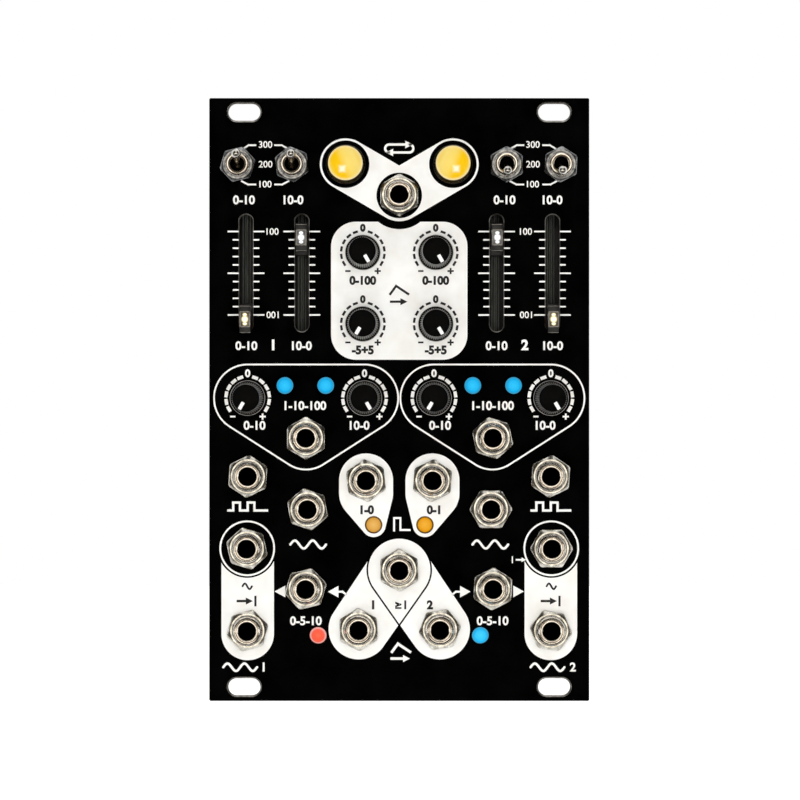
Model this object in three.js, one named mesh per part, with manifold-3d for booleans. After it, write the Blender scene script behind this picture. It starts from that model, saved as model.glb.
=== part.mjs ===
import * as THREE from 'three';
import { mergeVertices } from 'three/addons/utils/BufferGeometryUtils.js';
import Module from 'manifold-3d';

// Two channel function generator module for a synthesizer rack
// Millimetres: X runs to the right, Z up and Y from the player into the rack
// The origin is on the panel's back face, midway between the two upper rack screws

// Front panel
const panelWidth = 81;
const panelHeight = 128.5;
const panelThickness = 2;
const panelEdgeChamfer = 0.2;
const railInset = 3;
const rackSlotLength = 6.8;
const rackSlotWidth = 3.6;
const rackSlotChamfer = 0.35;
const rackSlotSpreadShare = 0.4077;

// Clearances
const runningGap = 0.3;
const cutOverrun = 1;

// Sockets: moulded body, threaded bushing and hexagonal nut
const jackBodyWidth = 9;
const jackBodyHeight = 10.5;
const jackBodyDepth = 10.2;
const jackBackWall = 0.8;
const jackBoreRadius = 1.8;
const jackMouthFlare = 0.4;
const jackMouthDepth = 0.5;
const jackBushingWall = 1.2;
const jackBushingReach = 4.5;
const jackBushingRound = 0.25;
const jackNutWall = 1;
const jackNutThickness = 2;
const jackNutChamfer = 0.35;

// Knobs, each moulded in one piece with its shaft
const knobFlangeRadius = 3.75;
const knobFlangeThickness = 1.1;
const knobBodyRadius = 3.3;
const knobTopRadius = 2.85;
const knobHeight = 10.2;
const knobRibDepth = 0.16;
const knobRibCount = 16;
const knobEdgeRound = 0.3;
const pointerWidth = 0.75;
const pointerRise = 0.1;
const pointerStartShare = 0.35;
const knobTurnDegrees = 150;
const shaftRadius = 2.5;
const shaftReachBehindPanel = 5.2;

// Rotary controls under the knobs
const potWidth = 9.5;
const potHeight = 9.5;
const potFront = 3.4;
const potCollarWall = 1.2;
const potCollarLength = 1.8;

// Slide controls
const sliderTravel = 20;
const sliderStemWidth = 2.3;
const sliderStemLength = 3.4;
const sliderCapLength = 5.7;
const sliderCapReach = 5.5;
const sliderLensLength = 3.4;
const sliderLensRise = 1;
const sliderCarriageWidth = 4.4;
const sliderCarriageLength = 7;
const sliderCarriageDepth = 2.6;
const sliderBodyWidth = 7;
const sliderWall = 1.5;
const sliderFaceThickness = 0.8;
const sliderFloorThickness = 2.4;
const sliderSideGap = 0.325;
const sliderEndGap = 0.8;
const sliderSpareShare = 0.323;

// Toggle switches
const toggleNutWall = 1;
const toggleNutThickness = 1.8;
const toggleNutChamfer = 0.3;
const toggleBushingWall = 0.88;
const toggleBushingReach = 4;
const toggleMouthDepth = 2;
const toggleLeverRadius = 0.7;
const toggleLeverTipRadius = 0.5;
const toggleBallRadius = 1;
const toggleBallReach = 7.5;
const togglePivotRadius = 1.2;
const toggleTailLength = 2.3;
const toggleTailRadius = 0.45;
const toggleBodyWidth = 6.8;
const toggleBodyHeight = 9.2;
const toggleThrowDegrees = 14;

// Push buttons
const buttonRadius = 3.7;
const buttonHoleGap = 0.4;
const buttonReach = 4.6;
const buttonDome = 1.5;
const buttonTravel = 1.5;
const buttonStemRadius = 2;
const buttonSwitchWidth = 8.4;
const buttonSwitchFront = 4;
const buttonWellDepth = 3.6;

// Indicator lamps
const lampRadius = 1.65;
const lampHoleGap = 0.15;
const lampReach = 0.15;
const lampFlangeRadius = 1.95;
const lampFlangeFront = 2.4;
const lampFlangeThickness = 1;
const lampLeadWidth = 0.5;
const lampLeadPitch = 2.54;

// Circuit boards
const boardThickness = 1.6;
const controlBoardSideInset = 2.5;
const controlBoardEndInset = 8.5;
const mainBoardSideInset = 5;
const mainBoardEndInset = 13;
const boardSpacing = 8;

// Parts soldered to the main board
const stackHeaderWidth = 5;
const stackHeaderLength = 25.4;
const chipWidth = 6;
const chipLength = 8.7;
const chipHeight = 1.75;
const capacitorRadius = 3.15;
const capacitorHeight = 5.8;

// Power header
const powerHeaderWidth = 9;
const powerHeaderLength = 27.9;
const powerHeaderDepth = 8.9;
const powerHeaderWall = 1.1;
const powerHeaderFloor = 2;
const powerKeyLength = 4.5;
const powerPinWidth = 0.64;
const powerPinLength = 5.6;
const powerPinPitch = 2.54;
const powerPinRows = 8;
const powerPinColumns = 2;

// Spacers with their screws
const spacerAcrossFlats = 5;
const spacerEdgeInset = 3.5;
const spacerStudRadius = 1.25;
const spacerNutThickness = 1.6;
const screwHeadRadius = 2.4;
const screwHeadHeight = 1.5;
const screwHeadRound = 0.4;

// Facets round each shape
const jackSegments = 12;
const hiddenHoleSegments = 8;
const rodSegments = 12;
const knobFlangeSegments = 20;
const toggleSegments = 12;
const toggleLeverSegments = 8;
const buttonSegments = 20;
const lampSegments = 12;
const slotEndSegments = 6;
const domeSteps = 4;
const hexagonSides = 6;
const triangleCorners = 3;

// Worked out from the sizes above
const panelFront = -panelThickness;
const panelTop = railInset;
const panelFoot = railInset - panelHeight;
const panelMiddle = (panelTop + panelFoot) / 2;
const boardFront = jackBodyDepth;
const boardBack = boardFront + boardThickness;
const mainBoardFront = boardBack + boardSpacing;
const mainBoardBack = mainBoardFront + boardThickness;
const sliderSlotWidth = sliderStemWidth + 2 * sliderSideGap;
const sliderSlotLength = sliderTravel + sliderStemLength + 2 * sliderEndGap;
const sliderCavityLength = sliderTravel + sliderCarriageLength + 2 * runningGap;
const sliderBodyLength = sliderCavityLength + 2 * sliderWall;
const fullTurnDegrees = 360;
const radians = (2 * Math.PI) / fullTurnDegrees;
const hexagonCorner = 1 / Math.cos(Math.PI / hexagonSides);
const jackBushingRadius = jackBoreRadius + jackBushingWall;
const toggleThrow = toggleThrowDegrees * radians;
const toggleSweep = toggleLeverRadius / Math.cos(toggleThrow) + toggleMouthDepth * Math.tan(toggleThrow);
const toggleMouthRadius = Math.max(togglePivotRadius, toggleSweep) + runningGap;
const toggleBushingRadius = toggleMouthRadius + toggleBushingWall;
const togglePivot = panelFront - toggleBushingReach + toggleMouthDepth;
const buttonTail = buttonSwitchFront - buttonTravel - runningGap;

// Places on the panel: across from its centre line and up from its lower edge
const placeX = (share) => share * panelWidth;
const placeZ = (share) => panelFoot + share * panelHeight;

const sides = [
  { suffix: 'a', sideShare: -1 },
  { suffix: 'b', sideShare: 1 },
];
const lanes = [
  { name: 'rise_a', sideShare: -1, outer: true },
  { name: 'fall_a', sideShare: -1, outer: false },
  { name: 'rise_b', sideShare: 1, outer: false },
  { name: 'fall_b', sideShare: 1, outer: true },
];
const laneShares = {
  toggle: { outer: 0.4247, inner: 0.2822, up: 0.8895 },
  slider: { outer: 0.4031, inner: 0.2562 },
  timeKnob: { outer: 0.3988, inner: 0.0914, up: 0.5023 },
  timeLamp: { outer: 0.3012, inner: 0.1938, up: 0.5233 },
};
const sideShares = {
  button: [0.1411, 0.8903],
  level: [0.0959, 0.7436],
  offset: [0.0959, 0.6252],
  endLamp: [0.0675, 0.2922],
  vcaLamp: [0.2136, 0.1085],
};
const spacerShares = { upper: 0.6844, lower: 0.1284 };
const chipColumnShares = [0.11, 0.225, 0.34];
const chipRowShares = [0.3, 0.42, 0.54, 0.66, 0.78];
const capacitorShares = [[-0.3, 0.24], [-0.3, 0.8]];
const stackHeaderShares = { across: 0.32, up: 0.5 };
const powerHeaderShares = { across: -0.3, up: 0.52 };

// Each socket: place shares, then how far its nut and the toggles' nuts are turned clockwise from a corner
// at the top, as a share of one side of the nut
const socketShares = {
  jack_cycle: [0, 0.8385],
  jack_time_a: [-0.2451, 0.4362],
  jack_time_b: [0.2451, 0.4362],
  jack_trigger_a: [-0.3975, 0.3728],
  jack_trigger_b: [0.3975, 0.3728],
  jack_follow_a: [-0.2407, 0.3183],
  jack_follow_b: [0.2407, 0.3183],
  jack_rise_end: [-0.0873, 0.3658],
  jack_fall_end: [0.0873, 0.3658],
  jack_signal_in_a: [-0.4, 0.2533],
  jack_signal_in_b: [0.4, 0.2533],
  jack_signal_out_a: [-0.3988, 0.1175],
  jack_signal_out_b: [0.3988, 0.1175],
  jack_gain_a: [-0.2457, 0.1865],
  jack_gain_b: [0.2457, 0.1865],
  jack_mix: [0, 0.2175],
  jack_curve_a: [-0.1067, 0.1191],
  jack_curve_b: [0.1067, 0.1191],
};
const nutTurnShares = {
  jack_cycle: 0,
  jack_time_a: 0,
  jack_time_b: -0.2,
  jack_trigger_a: 0.06,
  jack_trigger_b: 0.07,
  jack_follow_a: -0.17,
  jack_follow_b: 0.5,
  jack_rise_end: -0.1,
  jack_fall_end: 0.07,
  jack_signal_in_a: -0.21,
  jack_signal_in_b: 0.5,
  jack_signal_out_a: 0.25,
  jack_signal_out_b: -0.37,
  jack_gain_a: 0.27,
  jack_gain_b: 0.05,
  jack_mix: -0.02,
  jack_curve_a: -0.04,
  jack_curve_b: 0.35,
  toggle_switch_rise_a: 0.28,
  toggle_switch_fall_a: -0.13,
  toggle_switch_rise_b: 0,
  toggle_switch_fall_b: 0.05,
};

// Where each control rests, as shares of its turn or throw to one side, or of a slider's whole travel
const knobRestShares = {
  knob_level_a: 1,
  knob_level_b: 1,
  knob_offset_a: -1,
  knob_offset_b: 1,
  knob_rise_a: -1,
  knob_fall_a: 1,
  knob_rise_b: -1,
  knob_fall_b: 1,
};
const toggleRestShares = { rise_a: 1, fall_a: 1, rise_b: -1, fall_b: -1 };
const sliderRestShares = { rise_a: -0.5, fall_a: 0.365, rise_b: 0.365, fall_b: -0.5 };

// Finishes
const finish = (color, roughness, metalness = 0, extra = {}) => ({ color, roughness, metalness, ...extra });
const finishes = {
  panel: finish(0x0b0b0c, 0.55, 0.3),
  board: finish(0x14402a, 0.6),
  plastic: finish(0x141414, 0.5),
  knob: finish(0x101010, 0.45),
  nickel: finish(0xc9c4b4, 0.25, 1),
  chrome: finish(0xdedede, 0.12, 1),
  lens: finish(0xf2f2ee, 0.2, 0, { emissive: 0xf2f2ee }),
  yellow: finish(0xf5b800, 0.25, 0, { emissive: 0x6b4a00 }),
  blue: finish(0x1fb5ff, 0.3, 0, { emissive: 0x1fb5ff }),
  orange: finish(0xf5a21b, 0.3, 0, { emissive: 0xf5a21b }),
  red: finish(0xff4a3c, 0.3, 0, { emissive: 0xff4a3c }),
  brass: finish(0xb9a06a, 0.35, 1),
};

const wasm = await Module();
wasm.setup();

const model = new THREE.Group();

function addPart(name, body, finishName, x = 0, z = 0) {
  const faces = body.getMesh();
  const geometry = new THREE.BufferGeometry();
  geometry.setAttribute('position', new THREE.BufferAttribute(faces.vertProperties, faces.numProp));
  geometry.setIndex(new THREE.BufferAttribute(faces.triVerts, 1));
  geometry.computeVertexNormals();
  const material = new THREE.MeshStandardMaterial({ ...finishes[finishName], flatShading: true });
  const part = new THREE.Mesh(geometry, material);
  part.name = name;
  part.position.set(x, 0, z);
  model.add(part);
}

// Turns a closed geometry into a solid that can be joined and cut
function solid(geometry) {
  geometry.deleteAttribute('normal');
  geometry.deleteAttribute('uv');
  const merged = mergeVertices(geometry);
  const corners = merged.index.array;
  const triVerts = [];
  for (let at = 0; at < corners.length; at += triangleCorners) {
    const [a, b, c] = corners.slice(at, at + triangleCorners);
    if (a !== b && b !== c && c !== a) triVerts.push(a, b, c);
  }
  return new wasm.Manifold(new wasm.Mesh({
    numProp: triangleCorners,
    vertProperties: merged.attributes.position.array,
    triVerts: new Uint32Array(triVerts),
  }));
}

const join = (...bodies) => bodies.reduce((whole, body) => whole.add(body));
const cut = (body, ...cutters) => cutters.reduce((rest, cutter) => rest.subtract(cutter), body);

// A block centred on a point of the panel plane, between two depths
function block(width, height, front, back, x = 0, z = 0) {
  const geometry = new THREE.BoxGeometry(width, back - front, height);
  geometry.translate(x, (front + back) / 2, z);
  return solid(geometry);
}

// A body turned about Y, its profile given as radius and depth from the front to the back
function turned(profile, segments, turnDegrees = 0, x = 0, z = 0) {
  const points = profile.map(([radius, depth]) => new THREE.Vector2(radius, depth));
  const geometry = new THREE.LatheGeometry(points, segments, turnDegrees * radians);
  geometry.translate(x, 0, z);
  return solid(geometry);
}

// A plain round rod between two depths
function rod(radius, front, back, segments, x = 0, z = 0) {
  return turned([[0, front], [radius, front], [radius, back], [0, back]], segments, 0, x, z);
}

// Flat outlines pushed along Y between two depths
function prism(outlines, front, back, bevel = 0) {
  const geometry = new THREE.ExtrudeGeometry(outlines, {
    depth: back - front - 2 * bevel,
    bevelEnabled: bevel > 0,
    bevelThickness: bevel,
    bevelSize: bevel,
    bevelOffset: -bevel,
    bevelSegments: 1,
    curveSegments: slotEndSegments,
  });
  geometry.rotateX(Math.PI / 2);
  geometry.translate(0, back - bevel, 0);
  return solid(geometry);
}

// A slot outline with round ends, its longer side along X or Z
function stadium(width, height, x = 0, z = 0) {
  const radius = Math.min(width, height) / 2;
  const reachX = Math.max(width - height, 0) / 2;
  const reachZ = Math.max(height - width, 0) / 2;
  const start = width > height ? -Math.PI / 2 : 0;
  const outline = new THREE.Shape();
  outline.absarc(x + reachX, z + reachZ, radius, start, start + Math.PI);
  outline.absarc(x - reachX, z - reachZ, radius, start + Math.PI, start + 2 * Math.PI);
  return outline;
}

// A round outline with a chosen number of sides
function disc(radius, segments, x, z) {
  const points = Array.from({ length: segments }, (_, step) => {
    const angle = (2 * Math.PI * step) / segments;
    return new THREE.Vector2(x + radius * Math.cos(angle), z + radius * Math.sin(angle));
  });
  return new THREE.Shape(points);
}

function rectangle(width, height) {
  const corners = [[-0.5, -0.5], [0.5, -0.5], [0.5, 0.5], [-0.5, 0.5]];
  return new THREE.Shape(corners.map(([acrossShare, upShare]) =>
    new THREE.Vector2(acrossShare * width, upShare * height)));
}

// A six sided nut whose front edge is chamfered, its flats at a radius
function nut(flatRadius, chamfer, front, back, turnShare) {
  const corner = flatRadius * hexagonCorner;
  return turned([
    [0, front],
    [corner - chamfer, front],
    [corner, front + chamfer],
    [corner, back],
    [0, back],
  ], hexagonSides, (turnShare * fullTurnDegrees) / hexagonSides);
}

// Where the controls and sockets are
const lanePlaces = (kind, z = placeZ(laneShares[kind].up)) => lanes.map(({ name, sideShare, outer }) => ({
  name,
  x: sideShare * placeX(outer ? laneShares[kind].outer : laneShares[kind].inner),
  z,
}));
const sidePlaces = (kind) => sides.map(({ suffix, sideShare }) => ({
  name: suffix,
  x: sideShare * placeX(sideShares[kind][0]),
  z: placeZ(sideShares[kind][1]),
}));
const toggles = lanePlaces('toggle');

// The slide controls share out the height between the toggles above and the rotary controls below
const sliderRoomTop = placeZ(laneShares.toggle.up) - toggleBodyHeight / 2;
const sliderRoomFoot = placeZ(laneShares.timeKnob.up) + potHeight / 2;
const sliderSpare = sliderRoomTop - sliderRoomFoot - sliderBodyLength;
const sliders = lanePlaces('slider', sliderRoomTop - sliderSpareShare * sliderSpare - sliderBodyLength / 2);
const buttons = sidePlaces('button');
const knobs = [
  ...lanePlaces('timeKnob').map((place) => ({ ...place, name: `knob_${place.name}` })),
  ...sidePlaces('level').map((place) => ({ ...place, name: `knob_level_${place.name}` })),
  ...sidePlaces('offset').map((place) => ({ ...place, name: `knob_offset_${place.name}` })),
];
const endNames = { a: 'lamp_rise_end', b: 'lamp_fall_end' };
const lamps = [
  ...lanePlaces('timeLamp').map((place) => ({ ...place, name: `lamp_${place.name}`, finishName: 'blue' })),
  ...sidePlaces('endLamp').map((place) => ({ ...place, name: endNames[place.name], finishName: 'orange' })),
  ...sidePlaces('vcaLamp').map((place) => ({
    ...place,
    name: `lamp_gain_${place.name}`,
    finishName: place.name === 'a' ? 'red' : 'blue',
  })),
];
const sockets = Object.entries(socketShares).map(([name, [acrossShare, upShare]]) => ({
  name,
  x: placeX(acrossShare),
  z: placeZ(upShare),
}));
const spacers = Object.entries(spacerShares).map(([end, upShare]) => ({
  name: `standoff_${end}`,
  z: placeZ(upShare),
}));

// Front panel with its rack slots and a hole for every control, lamp and socket
function makePanel() {
  const plate = prism(rectangle(panelWidth, panelHeight), panelFront, 0, panelEdgeChamfer)
    .translate([0, 0, panelMiddle]);
  const rackX = placeX(rackSlotSpreadShare);
  const rackPlaces = [-rackX, rackX].flatMap((x) => [0, panelFoot + railInset].map((z) => [x, z]));
  const rackSlots = rackPlaces.map(([x, z]) => stadium(rackSlotLength, rackSlotWidth, x, z));
  const wideSlots = rackPlaces.map(([x, z]) =>
    stadium(rackSlotLength + 2 * rackSlotChamfer, rackSlotWidth + 2 * rackSlotChamfer, x, z));
  const slots = sliders.map(({ x, z }) => stadium(sliderSlotWidth, sliderSlotLength, x, z));
  const holes = (places, radius, segments) => places.map(({ x, z }) => disc(radius, segments, x, z));
  const through = [
    ...rackSlots,
    ...slots,
    ...holes(sockets, jackBushingRadius + 2 * runningGap, hiddenHoleSegments),
    ...holes(knobs, shaftRadius + 2 * runningGap, hiddenHoleSegments),
    ...holes(toggles, toggleBushingRadius + 2 * runningGap, hiddenHoleSegments),
    ...holes(buttons, buttonRadius + buttonHoleGap, buttonSegments),
    ...holes(lamps, lampRadius + lampHoleGap, lampSegments),
  ];
  const sinkDepth = panelFront + rackSlotChamfer;
  const countersinks = prism(wideSlots, panelFront - rackSlotChamfer, sinkDepth, rackSlotChamfer);
  return cut(plate, prism(through, panelFront - cutOverrun, cutOverrun), countersinks);
}

// Control board with the rotary controls soldered to its front
function makeControlBoard() {
  const width = panelWidth - 2 * controlBoardSideInset;
  const height = panelHeight - 2 * controlBoardEndInset;
  const board = block(width, height, boardFront, boardBack, 0, panelMiddle);
  const collarRadius = shaftRadius + runningGap + potCollarWall;
  const boreEnd = shaftReachBehindPanel + runningGap;
  const collarFront = potFront - potCollarLength;
  const pots = knobs.map(({ x, z }) => {
    const body = block(potWidth, potHeight, potFront, boardFront, x, z);
    return body.add(rod(collarRadius, collarFront, potFront + potCollarLength, rodSegments, x, z));
  });
  const bores = knobs.map(({ x, z }) =>
    rod(shaftRadius + runningGap, collarFront - cutOverrun, boreEnd, rodSegments, x, z));
  return cut(join(board, ...pots), ...bores, ...spacerHoles(boardFront, boardBack));
}

function spacerHoles(front, back) {
  return spacers.map(({ z }) =>
    rod(spacerStudRadius + runningGap, front - cutOverrun, back + cutOverrun, rodSegments, 0, z));
}

// Main board with its stacking headers in front and its chips and capacitors behind
function makeMainBoard() {
  const width = panelWidth - 2 * mainBoardSideInset;
  const top = panelTop - mainBoardEndInset;
  const foot = placeZ(spacerShares.lower) - spacerEdgeInset;
  const board = block(width, top - foot, mainBoardFront, mainBoardBack, 0, (top + foot) / 2);
  const headers = sides.map(({ sideShare }) =>
    block(stackHeaderWidth, stackHeaderLength, boardBack, mainBoardFront,
      sideShare * placeX(stackHeaderShares.across), placeZ(stackHeaderShares.up)));
  const chipBack = mainBoardBack + chipHeight;
  const chips = chipColumnShares.flatMap((acrossShare) => chipRowShares.map((upShare) =>
    block(chipWidth, chipLength, mainBoardBack, chipBack, placeX(acrossShare), placeZ(upShare))));
  const capacitors = capacitorShares.map(([acrossShare, upShare]) =>
    rod(capacitorRadius, mainBoardBack, mainBoardBack + capacitorHeight, rodSegments,
      placeX(acrossShare), placeZ(upShare)));
  const loaded = join(board, ...headers, ...chips, ...capacitors);
  return cut(loaded, ...spacerHoles(mainBoardFront, mainBoardBack));
}

// Power header: an open shroud with a key notch and two rows of pins
function makePowerHeader() {
  const floor = mainBoardBack + powerHeaderFloor;
  const rim = mainBoardBack + powerHeaderDepth;
  const shroud = block(powerHeaderWidth, powerHeaderLength, mainBoardBack, rim);
  const inside = block(powerHeaderWidth - 2 * powerHeaderWall, powerHeaderLength - 2 * powerHeaderWall,
    floor, rim + cutOverrun);
  const key = block(powerHeaderWall + cutOverrun, powerKeyLength, floor, rim + cutOverrun,
    (powerHeaderWidth - powerHeaderWall + cutOverrun) / 2);
  const pins = [];
  for (let row = 0; row < powerPinRows; row++) {
    for (let column = 0; column < powerPinColumns; column++) {
      const x = (column - (powerPinColumns - 1) / 2) * powerPinPitch;
      const z = (row - (powerPinRows - 1) / 2) * powerPinPitch;
      pins.push(block(powerPinWidth, powerPinWidth, mainBoardBack, floor + powerPinLength, x, z));
    }
  }
  return join(cut(shroud, inside, key), ...pins);
}

// Socket: body behind the panel, bushing through it and nut in front
function makeSocket(nutTurn) {
  const front = panelFront - jackBushingReach;
  const nutFront = panelFront - jackNutThickness;
  const body = block(jackBodyWidth, jackBodyHeight, 0, jackBodyDepth);
  const bushing = turned([
    [0, front],
    [jackBushingRadius - jackBushingRound, front],
    [jackBushingRadius, front + jackBushingRound],
    [jackBushingRadius, jackBodyDepth / 2],
    [0, jackBodyDepth / 2],
  ], jackSegments);
  const bore = turned([
    [0, front - cutOverrun],
    [jackBoreRadius + jackMouthFlare, front - cutOverrun],
    [jackBoreRadius + jackMouthFlare, front],
    [jackBoreRadius, front + jackMouthDepth],
    [jackBoreRadius, jackBodyDepth - jackBackWall],
    [0, jackBodyDepth - jackBackWall],
  ], jackSegments);
  const ring = nut(jackBushingRadius + jackNutWall, jackNutChamfer, nutFront, panelFront, nutTurn);
  return cut(join(body, bushing, ring), bore);
}

// Knob: smooth flange, ribbed tapering body, pointer on its face and the shaft behind it
function makeKnob(restShare) {
  const back = panelFront - runningGap;
  const shoulder = back - knobFlangeThickness;
  const top = back - knobHeight;
  const flange = turned([
    [0, shoulder],
    [knobFlangeRadius - knobEdgeRound, shoulder],
    [knobFlangeRadius, shoulder + knobEdgeRound],
    [knobFlangeRadius, back],
    [0, back],
  ], knobFlangeSegments);
  const ribs = Array.from({ length: 2 * knobRibCount }, (_, step) => {
    const angle = (Math.PI * step) / knobRibCount;
    const radius = knobBodyRadius - (step % 2) * knobRibDepth;
    return new THREE.Vector2(radius * Math.sin(angle), radius * Math.cos(angle));
  });
  const taper = (1 - knobTopRadius / knobBodyRadius) / (shoulder - top);
  const body = prism(new THREE.Shape(ribs), top, shoulder).warp((point) => {
    const narrowing = 1 - taper * (shoulder - point[1]);
    point[0] *= narrowing;
    point[2] *= narrowing;
  });
  const start = knobTopRadius * pointerStartShare;
  const end = knobTopRadius - knobRibDepth;
  const pointerMiddle = (start + end) / 2;
  const pointer = block(pointerWidth, end - start, top - pointerRise, top + pointerRise, 0, pointerMiddle);
  const shaft = rod(shaftRadius, back - knobFlangeThickness / 2, shaftReachBehindPanel, rodSegments);
  return join(flange, body, pointer, shaft).rotate([0, restShare * knobTurnDegrees, 0]);
}

// Slide control body: a trough with a slotted face
function makeSliderBody() {
  const cavityWidth = sliderCarriageWidth + 2 * runningGap;
  const body = block(sliderBodyWidth, sliderBodyLength, 0, boardFront);
  const cavityBack = boardFront - sliderFloorThickness;
  const cavity = block(cavityWidth, sliderCavityLength, sliderFaceThickness, cavityBack);
  const slotBack = sliderFaceThickness + runningGap;
  const slot = prism(stadium(sliderSlotWidth, sliderSlotLength), -cutOverrun, slotBack);
  return cut(body, cavity, slot);
}

// Slide lever: carriage in the trough, stem through the slot and a cap with a clear window
function makeSliderLever() {
  const carriageFront = sliderFaceThickness + runningGap;
  const capBack = panelFront - runningGap;
  const capFront = panelFront - sliderCapReach;
  const carriage = block(sliderCarriageWidth, sliderCarriageLength, carriageFront,
    carriageFront + sliderCarriageDepth);
  const stem = block(sliderStemWidth, sliderStemLength, capFront, carriageFront + sliderCarriageDepth / 2);
  const cap = block(sliderStemWidth, sliderCapLength, capFront, capBack);
  const lens = block(sliderStemWidth, sliderLensLength, capFront - sliderLensRise, capBack);
  return join(carriage, stem, cap, lens);
}

// Toggle switch: body, bushing with an open mouth and a nut
function makeToggleSwitch(nutTurn) {
  const front = panelFront - toggleBushingReach;
  const body = block(toggleBodyWidth, toggleBodyHeight, 0, boardFront);
  const bushing = rod(toggleBushingRadius, front, boardFront / 2, toggleSegments);
  const nutFront = panelFront - toggleNutThickness;
  const ring = nut(toggleBushingRadius + toggleNutWall, toggleNutChamfer, nutFront, panelFront, nutTurn);
  const mouth = rod(toggleMouthRadius, front - cutOverrun, togglePivot + toggleTailLength + 2 * runningGap,
    toggleSegments);
  return cut(join(body, bushing, ring), mouth);
}

// Toggle lever: tail, pivot ball, tapering stalk and round tip, tilted about the pivot
function makeToggleLever(restShare) {
  const tip = togglePivot - toggleBallReach;
  const pivot = new THREE.SphereGeometry(togglePivotRadius, toggleLeverSegments, toggleLeverSegments / 2);
  const ball = new THREE.SphereGeometry(toggleBallRadius, toggleLeverSegments, toggleLeverSegments / 2);
  const stalk = turned([
    [0, tip],
    [toggleLeverTipRadius, tip],
    [toggleLeverRadius, togglePivot - toggleMouthDepth],
    [toggleLeverRadius, togglePivot],
    [toggleTailRadius, togglePivot],
    [toggleTailRadius, togglePivot + toggleTailLength],
    [0, togglePivot + toggleTailLength],
  ], toggleLeverSegments);
  pivot.translate(0, togglePivot, 0);
  ball.translate(0, tip, 0);
  const lever = join(solid(pivot), stalk, solid(ball)).translate([0, -togglePivot, 0]);
  return lever.rotate([-restShare * toggleThrowDegrees, 0, 0]).translate([0, togglePivot, 0]);
}

// Push button switch: a block with a well for the stem
function makeButtonSwitch() {
  const body = block(buttonSwitchWidth, buttonSwitchWidth, buttonSwitchFront, boardFront);
  const well = rod(buttonStemRadius + runningGap, buttonSwitchFront - cutOverrun,
    buttonSwitchFront + buttonWellDepth, buttonSegments / 2);
  return cut(body, well);
}

// Button cap: a domed skirt through the panel with a stem into the switch
function makeButtonCap() {
  const rim = panelFront - buttonReach;
  const stemEnd = buttonSwitchFront + buttonWellDepth - buttonTravel - runningGap;
  const dome = Array.from({ length: domeSteps + 1 }, (_, step) => {
    const angle = (Math.PI / 2) * (step / domeSteps);
    return [buttonRadius * Math.sin(angle), rim - buttonDome * Math.cos(angle)];
  });
  return turned([
    ...dome,
    [buttonRadius, buttonTail],
    [buttonStemRadius, buttonTail],
    [buttonStemRadius, stemEnd],
    [0, stemEnd],
  ], buttonSegments);
}

// Lamp: flush lens, flange and two leads down to the board
function makeLamp() {
  const front = panelFront - lampReach;
  const flangeBack = lampFlangeFront + lampFlangeThickness;
  const lens = turned([
    [0, front],
    [lampRadius, front],
    [lampRadius, lampFlangeFront],
    [lampFlangeRadius, lampFlangeFront],
    [lampFlangeRadius, flangeBack],
    [0, flangeBack],
  ], lampSegments);
  const leads = [-0.5, 0.5].map((pitchShare) =>
    block(lampLeadWidth, lampLeadWidth, lampFlangeFront, boardFront, 0, pitchShare * lampLeadPitch));
  return join(lens, ...leads);
}

// Spacer between the boards, with its nut in front and its screw head behind
function makeSpacer() {
  const corner = (spacerAcrossFlats / 2) * hexagonCorner;
  const headBack = mainBoardBack + screwHeadHeight;
  const hexagonRod = (front, back) => rod(corner, front, back, hexagonSides);
  const head = turned([
    [0, mainBoardBack],
    [screwHeadRadius, mainBoardBack],
    [screwHeadRadius, headBack - screwHeadRound],
    [screwHeadRadius - screwHeadRound, headBack],
    [0, headBack],
  ], rodSegments);
  const nutFront = boardFront - spacerNutThickness;
  const stud = rod(spacerStudRadius, nutFront, mainBoardBack + screwHeadRound, rodSegments);
  return join(hexagonRod(nutFront, boardFront), hexagonRod(boardBack, mainBoardFront), head, stud);
}

addPart('front_panel', makePanel(), 'panel');
addPart('control_board', makeControlBoard(), 'board');
addPart('main_board', makeMainBoard(), 'board');
addPart('power_header', makePowerHeader(), 'plastic',
  placeX(powerHeaderShares.across), placeZ(powerHeaderShares.up));
for (const { name, z } of spacers) addPart(name, makeSpacer(), 'brass', 0, z);
for (const { name, x, z } of sockets) addPart(name, makeSocket(nutTurnShares[name]), 'nickel', x, z);
for (const { name, x, z } of knobs) addPart(name, makeKnob(knobRestShares[name]), 'knob', x, z);
for (const { name, x, z } of sliders) {
  addPart(`slider_body_${name}`, makeSliderBody(), 'plastic', x, z);
  addPart(`slider_lever_${name}`, makeSliderLever(), 'lens', x, z + sliderRestShares[name] * sliderTravel);
}
for (const { name, x, z } of toggles) {
  const nutTurn = nutTurnShares[`toggle_switch_${name}`];
  addPart(`toggle_switch_${name}`, makeToggleSwitch(nutTurn), 'nickel', x, z);
  addPart(`toggle_lever_${name}`, makeToggleLever(toggleRestShares[name]), 'chrome', x, z);
}
for (const { name, x, z } of buttons) {
  addPart(`button_switch_${name}`, makeButtonSwitch(), 'plastic', x, z);
  addPart(`button_cap_${name}`, makeButtonCap(), 'yellow', x, z);
}
for (const { name, x, z, finishName } of lamps) addPart(name, makeLamp(), finishName, x, z);

export default model;
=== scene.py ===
import math

import bmesh
import bpy
import numpy as np
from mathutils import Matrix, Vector
from mathutils.geometry import delaunay_2d_cdt


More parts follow.
